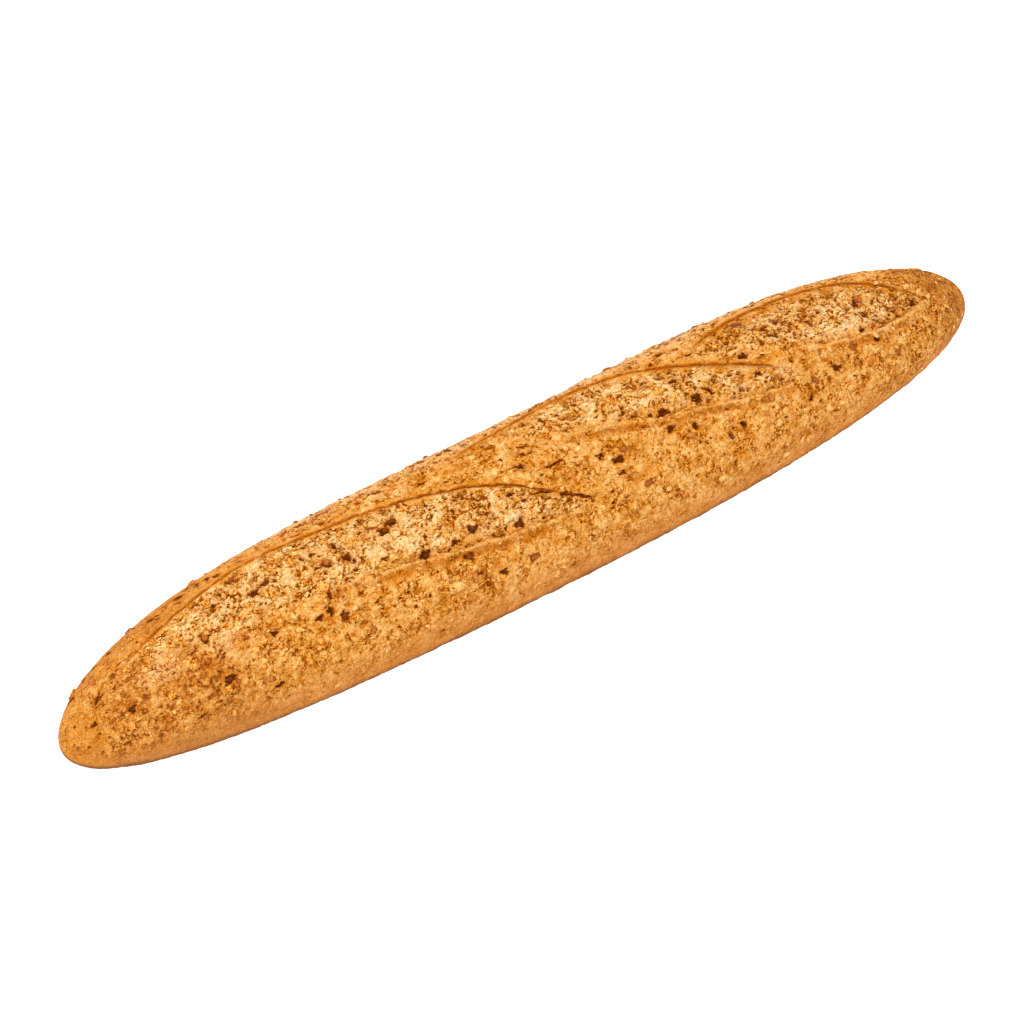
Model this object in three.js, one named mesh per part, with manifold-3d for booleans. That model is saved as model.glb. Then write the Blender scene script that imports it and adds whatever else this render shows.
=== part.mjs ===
// A seeded brown baguette: one solid loaf with blunt rounded ends, three long slanting cuts that opened in
// the oven, each with a raised ear on its far edge and a low lip on its near edge, and coarse grains and
// flakes baked into the crust. It lies along X on a narrow flat sole, +Z up, with its origin under its
// middle. Lengths are in millimetres, angles round the loaf in degrees from its top, positive towards -Y.
import * as THREE from "three";
import { mergeVertices } from "three/addons/utils/BufferGeometryUtils.js";
import Module from "manifold-3d";

// The loaf
const LENGTH = 400;
const HALF_WIDTH = 35;
const CROWN = 28; // from the widest line up to the top
const BELLY = 24.6; // from the widest line down, before the sole is pressed flat
const SOLE_PRESS = 2.2; // how much of the belly the oven floor took off
const END_POWER = { left: 3.8, right: 3.25 }; // higher is blunter
const END_DROP = { left: 17.5, right: 11 }; // how far each tip sinks below the middle line
const DROP_POWER = 3.6; // higher keeps the sinking nearer to the tips
const BEND = 9; // how far the tips swing back towards +Y
const BEND_CENTRE = 0.3; // keeps the bent loaf's box centred on Y

// The cuts: each line is [x, angle] from the cut's left tip to its right tip
const CUTS = [
  {
    ear: [[-178, -12], [-150, -22], [-120, -29], [-90, -21], [-55, -8.5], [-25, 10.5], [-8, 31], [7, 49]],
    lip: [[-178, -12], [-150, 17], [-115, 26], [-75, 32], [-40, 42.5], [-10, 48], [7, 49]],
  },
  {
    ear: [[-40, -24], [-12, -31], [20, -37.5], [45, -28], [66, -7], [86, 13], [108, 38]],
    lip: [[-40, -24], [-11, -14], [15, 3], [45, 20], [80, 35.5], [98, 39], [108, 38]],
  },
  {
    ear: [[66, -11], [85, -25], [113, -32.5], [132, -30], [150, -18], [165, 4], [178, 28]],
    lip: [[66, -11], [85, 3], [105, 18], [130, 31], [155, 35], [178, 28]],
  },
];
const CUT_FADE = 24; // length over which a cut opens from each tip
const CRUMB_RISE = 1.3; // how far the torn crumb swells in the middle of a cut
// Sections across a cut, as [across, out] points: across is positive towards the near side.
const EAR = [[-4.6, -0.9], [-3, 0.5], [-1.5, 1.1], [-0.2, 1.3], [0.5, 0.7], [0.2, -3.4]];
const GROOVE = [[0, 4], [5.4, 4], [1, -1.9], [0, -2.1]];
const LIP = [[-2.8, -0.9], [-1.3, 0.6], [0, 1], [1.4, 0.5], [3, -1], [0, -2.6]];
const SECTION_STEPS = 20; // sections along a cut
const TIP_SHARE = 0.12; // size of the first and last section

// The surface grid
const STATIONS = 58;
const TOP_ROWS = 21; // rows over the crown, where the cuts are
const TOP_SPREAD = 70; // degrees to each side that these rows cover
const UNDER_ROWS = 9;
const END_CROWDING = 1.45; // above 1 draws the stations together towards the tips

// Grains and flakes baked into the crust
const TOPPINGS = 96;
const TOPPING_GAP = 12;
const TOPPING_REACH = { x: 186, far: -92, near: 66 };
const EAR_CLEARANCE = 4.5;
const FLAKE_SHARE = 0.6;
const FLAKE = { half: [2.6, 2, 0.75], sides: 6, topShare: 0.8 };
const GRAIN = { half: [2.2, 1.4, 1.2] };
const TOPPING_SIZE = { least: 0.85, range: 0.3 };
const SEED = 20417;

const SAME_POINT = 1e-4; // points closer than this are one corner of a solid
const CRUST_FINISH = { color: new THREE.Color(0.62, 0.32, 0.09), roughness: 0.62, metalness: 0 };

const radians = (degrees) => (degrees * Math.PI) / 180;
const clamp01 = (t) => Math.min(1, Math.max(0, t));
const smooth = (t) => clamp01(t) ** 2 * (3 - 2 * clamp01(t));

// The height at x of a smooth line through points that run from left to right.
function lineAt(points, x) {
  const slope = (i) => {
    const a = points[Math.max(0, i - 1)];
    const b = points[Math.min(points.length - 1, i + 1)];
    return (b[1] - a[1]) / (b[0] - a[0]);
  };
  let i = 0;
  while (i < points.length - 2 && x > points[i + 1][0]) i++;
  const [x0, y0] = points[i];
  const [x1, y1] = points[i + 1];
  const span = x1 - x0;
  const t = clamp01((x - x0) / span);
  const h = smooth(t);
  return y0 * (1 - h) + y1 * h + span * (t * (1 - t) ** 2 * slope(i) - t * t * (1 - t) * slope(i + 1));
}

// The share of its full girth that the loaf has at x.
function girth(x) {
  const u = Math.abs(x) / (LENGTH / 2);
  return Math.sqrt(Math.max(0, 1 - u ** (x < 0 ? END_POWER.left : END_POWER.right)));
}

// Millimetres of crust to a radian at x.
const radiusAt = (x) => Math.sqrt(HALF_WIDTH * CROWN) * girth(x);

// How far open a cut is at x, from 0 at its tips to 1.
function openness({ ear }, x) {
  return smooth(Math.min(x - ear[0][0], ear[ear.length - 1][0] - x) / CUT_FADE);
}

// How far the crumb inside one cut swells out of the plain loaf.
function crumbRise(cut, x, angle) {
  const [ear, lip] = [lineAt(cut.ear, x), lineAt(cut.lip, x)];
  const across = clamp01((angle - ear) / Math.max(1, lip - ear));
  return openness(cut, x) * CRUMB_RISE * Math.sin(Math.PI * across);
}

// A point of the crust.
function crustPoint(x, angle) {
  const u = x / (LENGTH / 2);
  const size = girth(x);
  const drop = x < 0 ? END_DROP.left : END_DROP.right;
  const up = Math.cos(radians(angle));
  const side = Math.sin(radians(angle));
  const lift = CUTS.reduce((sum, cut) => sum + crumbRise(cut, x, angle), 0);
  const y = BEND * u * u - BEND_CENTRE - side * (HALF_WIDTH * size + lift);
  const middle = BELLY - SOLE_PRESS - drop * Math.abs(u) ** DROP_POWER;
  const z = middle + up * ((up > 0 ? CROWN : BELLY) * size + lift);
  return new THREE.Vector3(x, y, Math.max(0, z));
}

// The outward direction of the crust.
function crustNormal(x, angle) {
  const along = crustPoint(x + 1, angle).sub(crustPoint(x - 1, angle));
  const round = crustPoint(x, angle + 2).sub(crustPoint(x, angle - 2));
  return new THREE.Vector3().crossVectors(round, along).normalize();
}

// The angles of the rows: close over the crown, wider under the loaf.
function rowAngles() {
  const angles = [];
  for (let j = 0; j <= TOP_ROWS; j++) angles.push(-TOP_SPREAD + (2 * TOP_SPREAD * j) / TOP_ROWS);
  for (let j = 1; j <= UNDER_ROWS; j++) {
    angles.push(TOP_SPREAD + ((360 - 2 * TOP_SPREAD) * j) / (UNDER_ROWS + 1));
  }
  return angles;
}

// A closed skin over rings of points, with a point beyond each end ring.
function skin(rings, firstTip, lastTip) {
  const rows = rings[0].length;
  const tip = rings.length * rows;
  const last = tip - rows;
  const index = [];
  for (let j = 0; j < rows; j++) {
    const next = (j + 1) % rows;
    for (let a = 0; a < last; a += rows) {
      index.push(a + j, a + next, a + rows + j, a + next, a + rows + next, a + rows + j);
    }
    index.push(tip, next, j, tip + 1, last + j, last + next);
  }
  return new THREE.BufferGeometry().setFromPoints([...rings.flat(), firstTip, lastTip]).setIndex(index);
}

// The whole loaf as rings of crust points closed by a point at each tip.
function loafGeometry() {
  const rings = [];
  for (let i = 1; i < STATIONS; i++) {
    const v = (2 * i) / STATIONS - 1;
    const x = (Math.sign(v) * (1 - (1 - Math.abs(v)) ** END_CROWDING) * LENGTH) / 2;
    rings.push(rowAngles().map((angle) => crustPoint(x, angle)));
  }
  return skin(rings, crustPoint(-LENGTH / 2, 0), crustPoint(LENGTH / 2, 0));
}

// A bar of one section that follows a line over the crust and grows from the cut's tips.
function barGeometry(cut, line, section) {
  const rings = [];
  const [left, right] = [line[0][0], line[line.length - 1][0]];
  const middle = (x) => crustPoint(x, lineAt(line, x));
  for (let i = 0; i <= SECTION_STEPS; i++) {
    const x = left + ((right - left) * i) / SECTION_STEPS;
    const out = crustNormal(x, lineAt(line, x));
    const along = middle(x + 1).sub(middle(x - 1)).normalize();
    const across = new THREE.Vector3().crossVectors(along, out);
    const size = TIP_SHARE + (1 - TIP_SHARE) * openness(cut, x);
    const corner = ([a, o]) => middle(x).addScaledVector(across, a * size).addScaledVector(out, o * size);
    rings.push(section.map(corner));
  }
  return skin(rings, middle(left - TIP_SHARE), middle(right + TIP_SHARE));
}

// A repeatable stream of numbers from 0 to 1.
function numberStream(seed) {
  let state = seed;
  return () => {
    state = (Math.imul(1664525, state) + 1013904223) >>> 0;
    return state / 2 ** 32;
  };
}

// Where the grains and flakes lie: spread over the crust, apart from each other and clear of the ears.
function toppingPlaces() {
  const next = numberStream(SEED);
  const places = [];
  while (places.length < TOPPINGS) {
    const x = (2 * next() - 1) * TOPPING_REACH.x;
    const angle = TOPPING_REACH.far + (TOPPING_REACH.near - TOPPING_REACH.far) * next();
    const [kind, turn] = [next(), next() * Math.PI];
    const size = TOPPING_SIZE.least + TOPPING_SIZE.range * next();
    const reach = (x2, angle2) => Math.hypot(x2 - x, radians(angle2 - angle) * radiusAt(x));
    const crowded = places.some((p) => reach(p.x, p.angle) < TOPPING_GAP);
    const onEar = CUTS.some(
      ({ ear }) =>
        x > ear[0][0] - EAR_CLEARANCE &&
        x < ear[ear.length - 1][0] + EAR_CLEARANCE &&
        reach(x, lineAt(ear, x)) < EAR_CLEARANCE,
    );
    if (!crowded && !onEar) places.push({ x, angle, flake: kind < FLAKE_SHARE, turn, size });
  }
  return places;
}

const flakeShape = () => new THREE.CylinderGeometry(FLAKE.topShare, 1, 2, FLAKE.sides).rotateX(Math.PI / 2);

// One grain or flake, half sunk in the crust.
function toppingGeometry({ x, angle, flake, turn, size }) {
  const half = (flake ? FLAKE : GRAIN).half.map((h) => h * size);
  const shape = flake ? flakeShape() : new THREE.IcosahedronGeometry(1);
  shape.scale(...half).rotateZ(turn);
  const up = new THREE.Vector3(0, 0, 1);
  const stand = new THREE.Quaternion().setFromUnitVectors(up, crustNormal(x, angle));
  const at = crustPoint(x, angle);
  return shape.applyQuaternion(stand).translate(at.x, at.y, at.z);
}

const wasm = await Module();
wasm.setup();

// A closed geometry as a solid that can be joined.
function solid(geometry) {
  const bare = geometry.clone();
  bare.deleteAttribute("normal");
  bare.deleteAttribute("uv");
  const merged = mergeVertices(bare, SAME_POINT);
  const mesh = new wasm.Mesh({
    numProp: 3,
    vertProperties: new Float32Array(merged.attributes.position.array),
    triVerts: new Uint32Array(merged.index.array),
  });
  return new wasm.Manifold(mesh);
}

// The surface of a solid as a geometry.
function surface(made) {
  const mesh = made.getMesh();
  const geometry = new THREE.BufferGeometry();
  geometry.setAttribute("position", new THREE.BufferAttribute(mesh.vertProperties, 3));
  geometry.setIndex(new THREE.BufferAttribute(mesh.triVerts, 1));
  geometry.computeVertexNormals();
  return geometry;
}

// The plain loaf with its cuts opened, each with its groove, its ear and its lip.
function cutLoaf() {
  return CUTS.reduce(
    (dough, cut) =>
      dough
        .subtract(solid(barGeometry(cut, cut.ear, GROOVE)))
        .add(solid(barGeometry(cut, cut.ear, EAR)))
        .add(solid(barGeometry(cut, cut.lip, LIP))),
    solid(loafGeometry()),
  );
}

const toppings = toppingPlaces().map((place) => solid(toppingGeometry(place)));
const seeded = toppings.reduce((dough, topping) => dough.add(topping), cutLoaf());
const loaf = new THREE.Mesh(surface(seeded), new THREE.MeshStandardMaterial(CRUST_FINISH));
loaf.name = "loaf";

const baguette = new THREE.Group();
baguette.add(loaf);
export default baguette;
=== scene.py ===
"""A seeded brown baguette: its crust, its three opened slashes and the flakes, grains and seeds on it."""
import logging
import math
from dataclasses import dataclass, field
from enum import Enum
from functools import cached_property
from typing import Any, Iterable, Sequence

import bpy
import numpy as np
from mathutils import Matrix, Vector


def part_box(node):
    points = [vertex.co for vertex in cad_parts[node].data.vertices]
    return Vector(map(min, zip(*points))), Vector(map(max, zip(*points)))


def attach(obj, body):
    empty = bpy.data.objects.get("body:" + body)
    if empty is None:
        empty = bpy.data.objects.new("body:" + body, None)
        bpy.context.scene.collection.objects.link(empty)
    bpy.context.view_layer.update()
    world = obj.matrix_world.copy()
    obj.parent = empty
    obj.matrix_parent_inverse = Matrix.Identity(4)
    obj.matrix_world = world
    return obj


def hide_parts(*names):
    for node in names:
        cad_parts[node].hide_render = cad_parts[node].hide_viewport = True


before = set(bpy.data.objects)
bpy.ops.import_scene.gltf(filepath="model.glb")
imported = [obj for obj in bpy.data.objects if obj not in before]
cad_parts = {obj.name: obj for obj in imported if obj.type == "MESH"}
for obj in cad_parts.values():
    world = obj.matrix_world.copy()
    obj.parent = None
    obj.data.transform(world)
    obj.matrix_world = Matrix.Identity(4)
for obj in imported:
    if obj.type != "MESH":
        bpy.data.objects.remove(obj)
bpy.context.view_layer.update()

MM = 0.001
NODE = "loaf"
BODY = "root"

log = logging.getLogger("baguette")


def smooth(t: np.ndarray | float) -> np.ndarray:
    """A soft step from 0 to 1 as t goes from 0 to 1."""
    t = np.clip(t, 0.0, 1.0)
    return t * t * (3.0 - 2.0 * t)


def bell(t: np.ndarray) -> np.ndarray:
    """A rounded hump, 1 at t = 0 and nearly gone past 2."""
    return np.exp(-(t**2))


def linear(red: float, green: float, blue: float) -> tuple[float, float, float, float]:
    """A colour written as 0 to 255 screen values, as the linear values that a shader takes.

    Args:
        red: the red screen value.
        green: the green screen value.
        blue: the blue screen value.

    Returns:
        Linear red, green, blue and an alpha of 1.
    """
    parts = [c / 255.0 for c in (red, green, blue)]
    made = [c / 12.92 if c <= 0.04045 else ((c + 0.055) / 1.055) ** 2.4 for c in parts]
    return (*made, 1.0)


class Noise:
    """Smooth seeded noise through space."""

    SIZE = 256
    CORNERS = tuple((a, b, c) for a in (0, 1) for b in (0, 1) for c in (0, 1))
    APART = np.array([31.7, 57.3, 83.9])

    def __init__(self, seed: int) -> None:
        """Draws the table of values.

        Args:
            seed: the seed of the draw.
        """
        draw = np.random.default_rng(seed)
        self.order = draw.permutation(self.SIZE)
        self.values = draw.uniform(-1.0, 1.0, self.SIZE)

    def at(self, points: np.ndarray, grain: float) -> np.ndarray:
        """Noise from about -1 to 1 whose lumps are about grain across.

        Args:
            points: places, with x, y and z on the last axis.
            grain: the size of a lump, in the points' unit.

        Returns:
            One value a point.
        """
        scaled = points / grain
        cell = np.floor(scaled).astype(np.int64)
        part = scaled - cell
        part = part * part * (3.0 - 2.0 * part)
        total = np.zeros(points.shape[:-1])
        wrap = self.SIZE - 1
        for corner in self.CORNERS:
            at = cell + corner
            index = self.order[at[..., 0] & wrap]
            index = self.order[(index + at[..., 1]) & wrap]
            index = self.order[(index + at[..., 2]) & wrap]
            share = np.prod(np.where(corner, part, 1.0 - part), axis=-1)
            total += share * self.values[index]
        return total

    def folded(self, points: np.ndarray, grain: float) -> np.ndarray:
        """Round lumps with sharp creases between them, from about -0.5 to 1.5."""
        return 3.0 * np.abs(self.at(points + self.APART, grain)) - 0.5

    def bent(self, points: np.ndarray, grain: float, reach: float) -> np.ndarray:
        """The places pushed about by up to reach, so that what is drawn at them loses its straight runs."""
        push = [self.at(points + self.APART * (k + 2), grain) for k in range(3)]
        return points + reach * np.stack(push, axis=-1)


# The loaf and its slashes


@dataclass(frozen=True)
class Line:
    """A smooth line over the crust through points of (x, angle), from left to right."""

    points: tuple[tuple[float, float], ...]

    def at(self, x: np.ndarray) -> np.ndarray:
        """The line's angle at each x, in degrees from the loaf's top.

        Args:
            x: how far along the loaf.

        Returns:
            One angle for each x.
        """
        px, py = np.array(self.points, float).T
        before = np.maximum(np.arange(len(px)) - 1, 0)
        after = np.minimum(np.arange(len(px)) + 1, len(px) - 1)
        slope = (py[after] - py[before]) / (px[after] - px[before])
        i = np.clip(np.searchsorted(px, x, side="left") - 1, 0, len(px) - 2)
        span = px[i + 1] - px[i]
        t = np.clip((x - px[i]) / span, 0.0, 1.0)
        h = smooth(t)
        bow = t * (1.0 - t) ** 2 * slope[i] - t * t * (1.0 - t) * slope[i + 1]
        return py[i] * (1.0 - h) + py[i + 1] * h + span * bow


@dataclass(frozen=True)
class Slash:
    """One cut that opened in the oven, between its ear on the far side and its lip on the near side."""

    name: str
    ear: Line
    lip: Line
    toast: float
    skin: float
    amber: float
    crease_far: float
    crease_near: float
    ear_height: float
    roll: float
    lip_from: float
    shift: Line
    fade: float = 24.0

    @property
    def left(self) -> float:
        """The x of the cut's left tip."""
        return self.ear.points[0][0]

    @property
    def right(self) -> float:
        """The x of the cut's right tip."""
        return self.ear.points[-1][0]

    def openness(self, x: np.ndarray) -> np.ndarray:
        """How far open the cut is at x, from 0 at its tips to 1."""
        return smooth(np.minimum(x - self.left, self.right - x) / self.fade)

    def crease_shade(self, past_ear: np.ndarray) -> np.ndarray:
        """How strongly the crease is darkened with painted shade at a distance past the ear, from 0 to 1."""
        return bell(past_ear / np.where(past_ear < 0, self.crease_far, self.crease_near))

    def lipped(self, x: np.ndarray) -> np.ndarray:
        """How distinct the near lip is at x, from 0 to 1."""
        return smooth((x - self.lip_from) / 22.0 + 0.5)


SLASHES = (
    Slash(
        "slash_left",
        Line(
            ((-178, -12), (-150, -22), (-120, -29), (-90, -21), (-55, -8.5), (-25, 10.5), (-8, 31), (7, 49)),
        ),
        Line(((-178, -12), (-150, 17), (-115, 26), (-75, 32), (-40, 42.5), (-10, 48), (7, 49))),
        toast=0.1,
        skin=2.3,
        amber=0.15,
        crease_far=0.5,
        crease_near=0.9,
        ear_height=0.35,
        roll=3.4,
        lip_from=-86.0,
        shift=Line(((-178, 1.0), (-95, 1.0), (-75, 0.3), (7, 0.3))),
    ),
    Slash(
        "slash_middle",
        Line(((-40, -24), (-12, -31), (20, -37.5), (45, -28), (66, -7), (86, 13), (108, 38))),
        Line(((-40, -24), (-11, -14), (15, 3), (45, 20), (80, 35.5), (98, 39), (108, 38))),
        toast=0.2,
        skin=3.8,
        amber=0.35,
        crease_far=0.7,
        crease_near=1.9,
        ear_height=0.5,
        roll=3.6,
        lip_from=8.0,
        shift=Line(((-40, 1.1), (50, 1.0), (70, 0.5), (108, 0.5))),
    ),
    Slash(
        "slash_right",
        Line(((66, -11), (85, -25), (113, -32.5), (132, -30), (150, -18), (165, 4), (178, 28))),
        Line(((66, -11), (85, 3), (105, 18), (130, 31), (155, 35), (178, 28))),
        toast=0.05,
        skin=5.4,
        amber=0.8,
        crease_far=0.9,
        crease_near=1.9,
        ear_height=0.45,
        roll=3.4,
        lip_from=112.0,
        shift=Line(((66, 0.6), (95, 0.9), (115, 1.7), (135, 1.0), (150, 0.5), (178, 0.5))),
    ),
)


@dataclass(frozen=True)
class LoafForm:
    """The loaf's driving sizes in millimetres and the smooth form worked out from them."""

    length: float = 400.0
    half_width: float = 35.0
    crown: float = 28.0
    belly: float = 24.6
    sole_press: float = 2.2
    blunt_left: float = 3.8
    blunt_right: float = 3.25
    drop_left: float = 17.5
    drop_right: float = 11.0
    drop_power: float = 3.6
    bend: float = 9.0
    bend_centre: float = 0.3
    crumb_rise: float = 1.3
    left_end_from: float = -105.0
    left_end_fade: float = 55.0

    def girth(self, x: np.ndarray) -> np.ndarray:
        """The share of its full girth that the loaf has at x.

        Args:
            x: how far along the loaf.

        Returns:
            1 at the middle of the loaf, down to 0 at its ends.
        """
        u = np.abs(x) / (self.length / 2)
        blunt = np.where(np.asarray(x) < 0, self.blunt_left, self.blunt_right)
        return np.sqrt(np.maximum(0.0, 1.0 - u**blunt))

    def left_end(self, x: np.ndarray) -> np.ndarray:
        """How far x lies into the left end, which is baked more, from 0 to 1."""
        return smooth((self.left_end_from - x) / self.left_end_fade)

    def radius(self, x: np.ndarray) -> np.ndarray:
        """Millimetres of crust to a radian at x."""
        return math.sqrt(self.half_width * self.crown) * self.girth(x)

    def swell(self, x: np.ndarray, angle: np.ndarray) -> np.ndarray:
        """How far the torn crumb swells out of the plain loaf.

        Args:
            x: how far along the loaf.
            angle: degrees round it from its top.

        Returns:
            Millimetres out of the plain loaf.
        """
        total = np.zeros(np.broadcast(x, angle).shape)
        for slash in SLASHES:
            ear, lip = slash.ear.at(x), slash.lip.at(x)
            across = np.clip((angle - ear) / np.maximum(1.0, lip - ear), 0.0, 1.0)
            total += slash.openness(x) * self.crumb_rise * np.sin(math.pi * across)
        return total

    def point(self, x: np.ndarray, angle: np.ndarray, lift: np.ndarray | float = 0.0) -> np.ndarray:
        """Places on the loaf.

        Args:
            x: how far along the loaf.
            angle: degrees round it from its top, positive towards the near side.
            lift: millimetres out of the smooth form.

        Returns:
            Places with x, y and z on the last axis.
        """
        x, angle, lift = np.broadcast_arrays(x, angle, lift)
        u = x / (self.length / 2)
        size = self.girth(x)
        drop = np.where(x < 0, self.drop_left, self.drop_right)
        up, side = np.cos(np.radians(angle)), np.sin(np.radians(angle))
        out = self.swell(x, angle) + lift
        y = self.bend * u * u - self.bend_centre - side * (self.half_width * size + out)
        middle = self.belly - self.sole_press - drop * np.abs(u) ** self.drop_power
        z = middle + up * (np.where(up > 0, self.crown, self.belly) * size + out)
        return np.stack([x, y, np.maximum(z, 0.0)], axis=-1)

    def outward(self, x: np.ndarray, angle: np.ndarray) -> np.ndarray:
        """The outward direction of the smooth form at each place.

        Args:
            x: how far along the loaf.
            angle: degrees round it from its top.

        Returns:
            Directions of length 1.
        """
        along = self.point(x + 1.0, angle) - self.point(x - 1.0, angle)
        around = self.point(x, angle + 2.0) - self.point(x, angle - 2.0)
        normal = np.cross(around, along)
        return normal / np.linalg.norm(normal, axis=-1, keepdims=True)


# The photograph's view, and what it shows lying on the loaf


@dataclass(frozen=True)
class PhotoCamera:
    """A long lens that looks down on the loaf from its near left, as the photograph does."""

    azimuth: float = 35.2576
    elevation: float = 45.0
    distance: float = 2000.0
    lens: float = 194.08
    sensor: float = 36.0
    image: float = 1024.0
    aim_right: float = -9.083
    aim_up: float = -8.203
    aim_at: tuple[float, float, float] = (0.0, 3.3, 24.9)

    def axes(self) -> tuple[np.ndarray, np.ndarray, np.ndarray]:
        """The directions to the right, up and forward of the camera.

        Returns:
            Three directions of length 1.
        """
        a, e = math.radians(self.azimuth), math.radians(self.elevation)
        forward = np.array([math.sin(a) * math.cos(e), math.cos(a) * math.cos(e), -math.sin(e)])
        right = np.array([math.cos(a), -math.sin(a), 0.0])
        return right, np.cross(right, forward), forward

    def eye(self) -> np.ndarray:
        """The camera's place, in millimetres.

        Returns:
            Its x, y and z.
        """
        right, up, forward = self.axes()
        target = np.array(self.aim_at) + right * self.aim_right + up * self.aim_up
        return target - forward * self.distance

    def pixels(self, points: np.ndarray) -> np.ndarray:
        """Where places show in the 1024 x 1024 picture.

        Args:
            points: places in millimetres.

        Returns:
            Pixels to the right and down from the picture's upper left corner, on the last axis.
        """
        right, up, forward = self.axes()
        away = points - self.eye()
        scale = self.lens / self.sensor * self.image / (away @ forward)
        middle = self.image / 2
        return np.stack([middle + scale * (away @ right), middle - scale * (away @ up)], axis=-1)

    def make(self) -> None:
        """Makes the camera and gives it to the scene."""
        right, up, forward = self.axes()
        data = bpy.data.cameras.new("photo_camera")
        data.lens, data.sensor_width = self.lens, self.sensor
        data.clip_start, data.clip_end = 0.1, 20.0
        camera = bpy.data.objects.new("photo_camera", data)
        turned = Matrix((right, up, -forward)).transposed().to_4x4()
        camera.matrix_world = Matrix.Translation(Vector(self.eye() * MM)) @ turned
        bpy.context.scene.collection.objects.link(camera)
        bpy.context.scene.camera = camera


@dataclass(frozen=True)
class Spot:
    """Something that shows at one place of the photograph, sized in millimetres."""

    pixel_x: float
    pixel_y: float
    long: float
    short: float
    turn: float = 0.0


# Places in the photograph's pixels, read off it

HOLLOWS = (
    Spot(301, 557, 1.7, 1.6), Spot(312, 553, 2.4, 1.4), Spot(333, 545, 2.0, 1.6), Spot(347, 556, 3.2, 2.4),
    Spot(355, 560, 2.0, 1.2), Spot(356, 524, 2.4, 1.5), Spot(359, 532, 2.2, 1.0), Spot(382, 530, 3.6, 3.4),
    Spot(254, 591, 4.6, 2.6), Spot(331, 611, 3.0, 2.8), Spot(320, 618, 3.6, 1.8), Spot(330, 597, 1.7, 2.6),
    Spot(427, 554, 4.0, 2.9), Spot(456, 542, 3.2, 1.5), Spot(511, 493, 2.6, 1.5), Spot(565, 493, 3.4, 1.7),
    Spot(585, 496, 5.6, 1.3, 35.0), Spot(574, 494, 4.0, 1.5, 30.0), Spot(520, 466, 4.0, 2.2),
    Spot(510, 470, 2.2, 1.2), Spot(460, 482, 3.4, 1.5), Spot(392, 488, 4.2, 1.6), Spot(554, 463, 7.4, 1.2),
    Spot(600, 455, 3.4, 2.4), Spot(620, 458, 3.9, 2.6), Spot(623, 473, 3.4, 1.5), Spot(659, 354, 4.2, 1.2),
    Spot(672, 379, 4.3, 1.9), Spot(657, 378, 2.4, 1.4), Spot(664, 411, 5.2, 2.4), Spot(650, 415, 2.2, 1.4),
    Spot(697, 396, 4.0, 3.0), Spot(709, 391, 3.2, 4.2), Spot(672, 428, 3.8, 2.4), Spot(697, 425, 2.2, 2.5),
    Spot(744, 355, 4.2, 2.6), Spot(759, 373, 3.0, 1.9), Spot(761, 327, 2.9, 1.2), Spot(799, 324, 2.9, 1.6),
    Spot(813, 315, 2.5, 1.9), Spot(818, 312, 1.8, 1.3), Spot(856, 303, 2.4, 1.8), Spot(862, 330, 1.9, 2.2),
    Spot(838, 368, 3.8, 2.4), Spot(878, 339, 2.0, 2.8), Spot(912, 300, 2.9, 2.2), Spot(813, 398, 1.8, 2.5),
    Spot(745, 425, 2.4, 2.7), Spot(787, 418, 1.5, 1.3), Spot(410, 650, 1.9, 1.5), Spot(282, 685, 3.2, 2.1),
    Spot(95, 725, 2.1, 1.8), Spot(349, 578, 2.8, 1.1), Spot(275, 633, 2.6, 2.4), Spot(431, 595, 1.6, 1.6),
    Spot(303, 546, 3.6, 1.2), Spot(688, 354, 2.8, 1.8), Spot(632, 415, 1.8, 1.4),
    Spot(544, 492, 6.6, 1.3, 15.0), Spot(549, 499, 2.8, 1.1), Spot(792, 360, 1.5, 2.5),
    Spot(640, 382, 2.4, 1.2), Spot(414, 480, 3.0, 1.3),
)
ROASTED_GRAINS = (
    Spot(391, 520, 4.8, 2.8, -10.0), Spot(133, 709, 2.6, 2.5), Spot(230, 680, 3.9, 3.3),
    Spot(346, 615, 3.3, 3.1),
    Spot(471, 556, 3.6, 3.2), Spot(521, 524, 4.0, 3.2), Spot(474, 527, 4.8, 2.8), Spot(484, 572, 2.5, 2.2),
    Spot(505, 572, 2.6, 2.5), Spot(541, 419, 1.8, 2.5), Spot(874, 270, 2.3, 1.4), Spot(99, 696, 2.9, 2.6),
    Spot(458, 481, 3.0, 1.4), Spot(743, 357, 2.0, 1.6), Spot(917, 275, 1.7, 1.4), Spot(443, 631, 2.4, 1.2),
)
REDDISH_GRAINS = (
    Spot(262, 613, 4.2, 2.8), Spot(235, 639, 2.9, 2.0), Spot(246, 637, 2.6, 2.1), Spot(208, 661, 3.6, 2.8),
    Spot(366, 622, 3.6, 2.4), Spot(505, 547, 4.6, 3.2), Spot(357, 586, 2.8, 2.4), Spot(518, 454, 3.6, 2.8),
    Spot(568, 415, 5.0, 1.9), Spot(854, 346, 5.0, 3.4), Spot(850, 336, 2.2, 1.8), Spot(847, 316, 2.2, 1.5),
    Spot(636, 387, 3.2, 1.5), Spot(361, 519, 2.6, 1.9), Spot(575, 480, 1.5, 2.8), Spot(848, 306, 1.9, 1.8),
    Spot(897, 313, 2.5, 2.4), Spot(326, 585, 2.8, 2.2), Spot(418, 592, 3.2, 1.8), Spot(825, 360, 2.8, 1.9),
)
GREY_GRAINS = (
    Spot(526, 490, 3.2, 1.9), Spot(635, 476, 4.8, 2.6, -15.0), Spot(779, 376, 4.4, 3.0),
    Spot(858, 362, 3.6, 3.9),
    Spot(570, 427, 3.2, 2.6), Spot(460, 608, 1.9, 3.6), Spot(472, 596, 1.9, 2.8), Spot(742, 380, 3.4, 2.6),
    Spot(266, 682, 2.9, 2.6), Spot(922, 297, 2.2, 1.8), Spot(620, 398, 2.4, 1.4), Spot(442, 550, 3.0, 1.6),
    Spot(716, 378, 1.2, 3.0), Spot(387, 493, 3.8, 2.2), Spot(341, 592, 4.2, 3.6),
)
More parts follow.
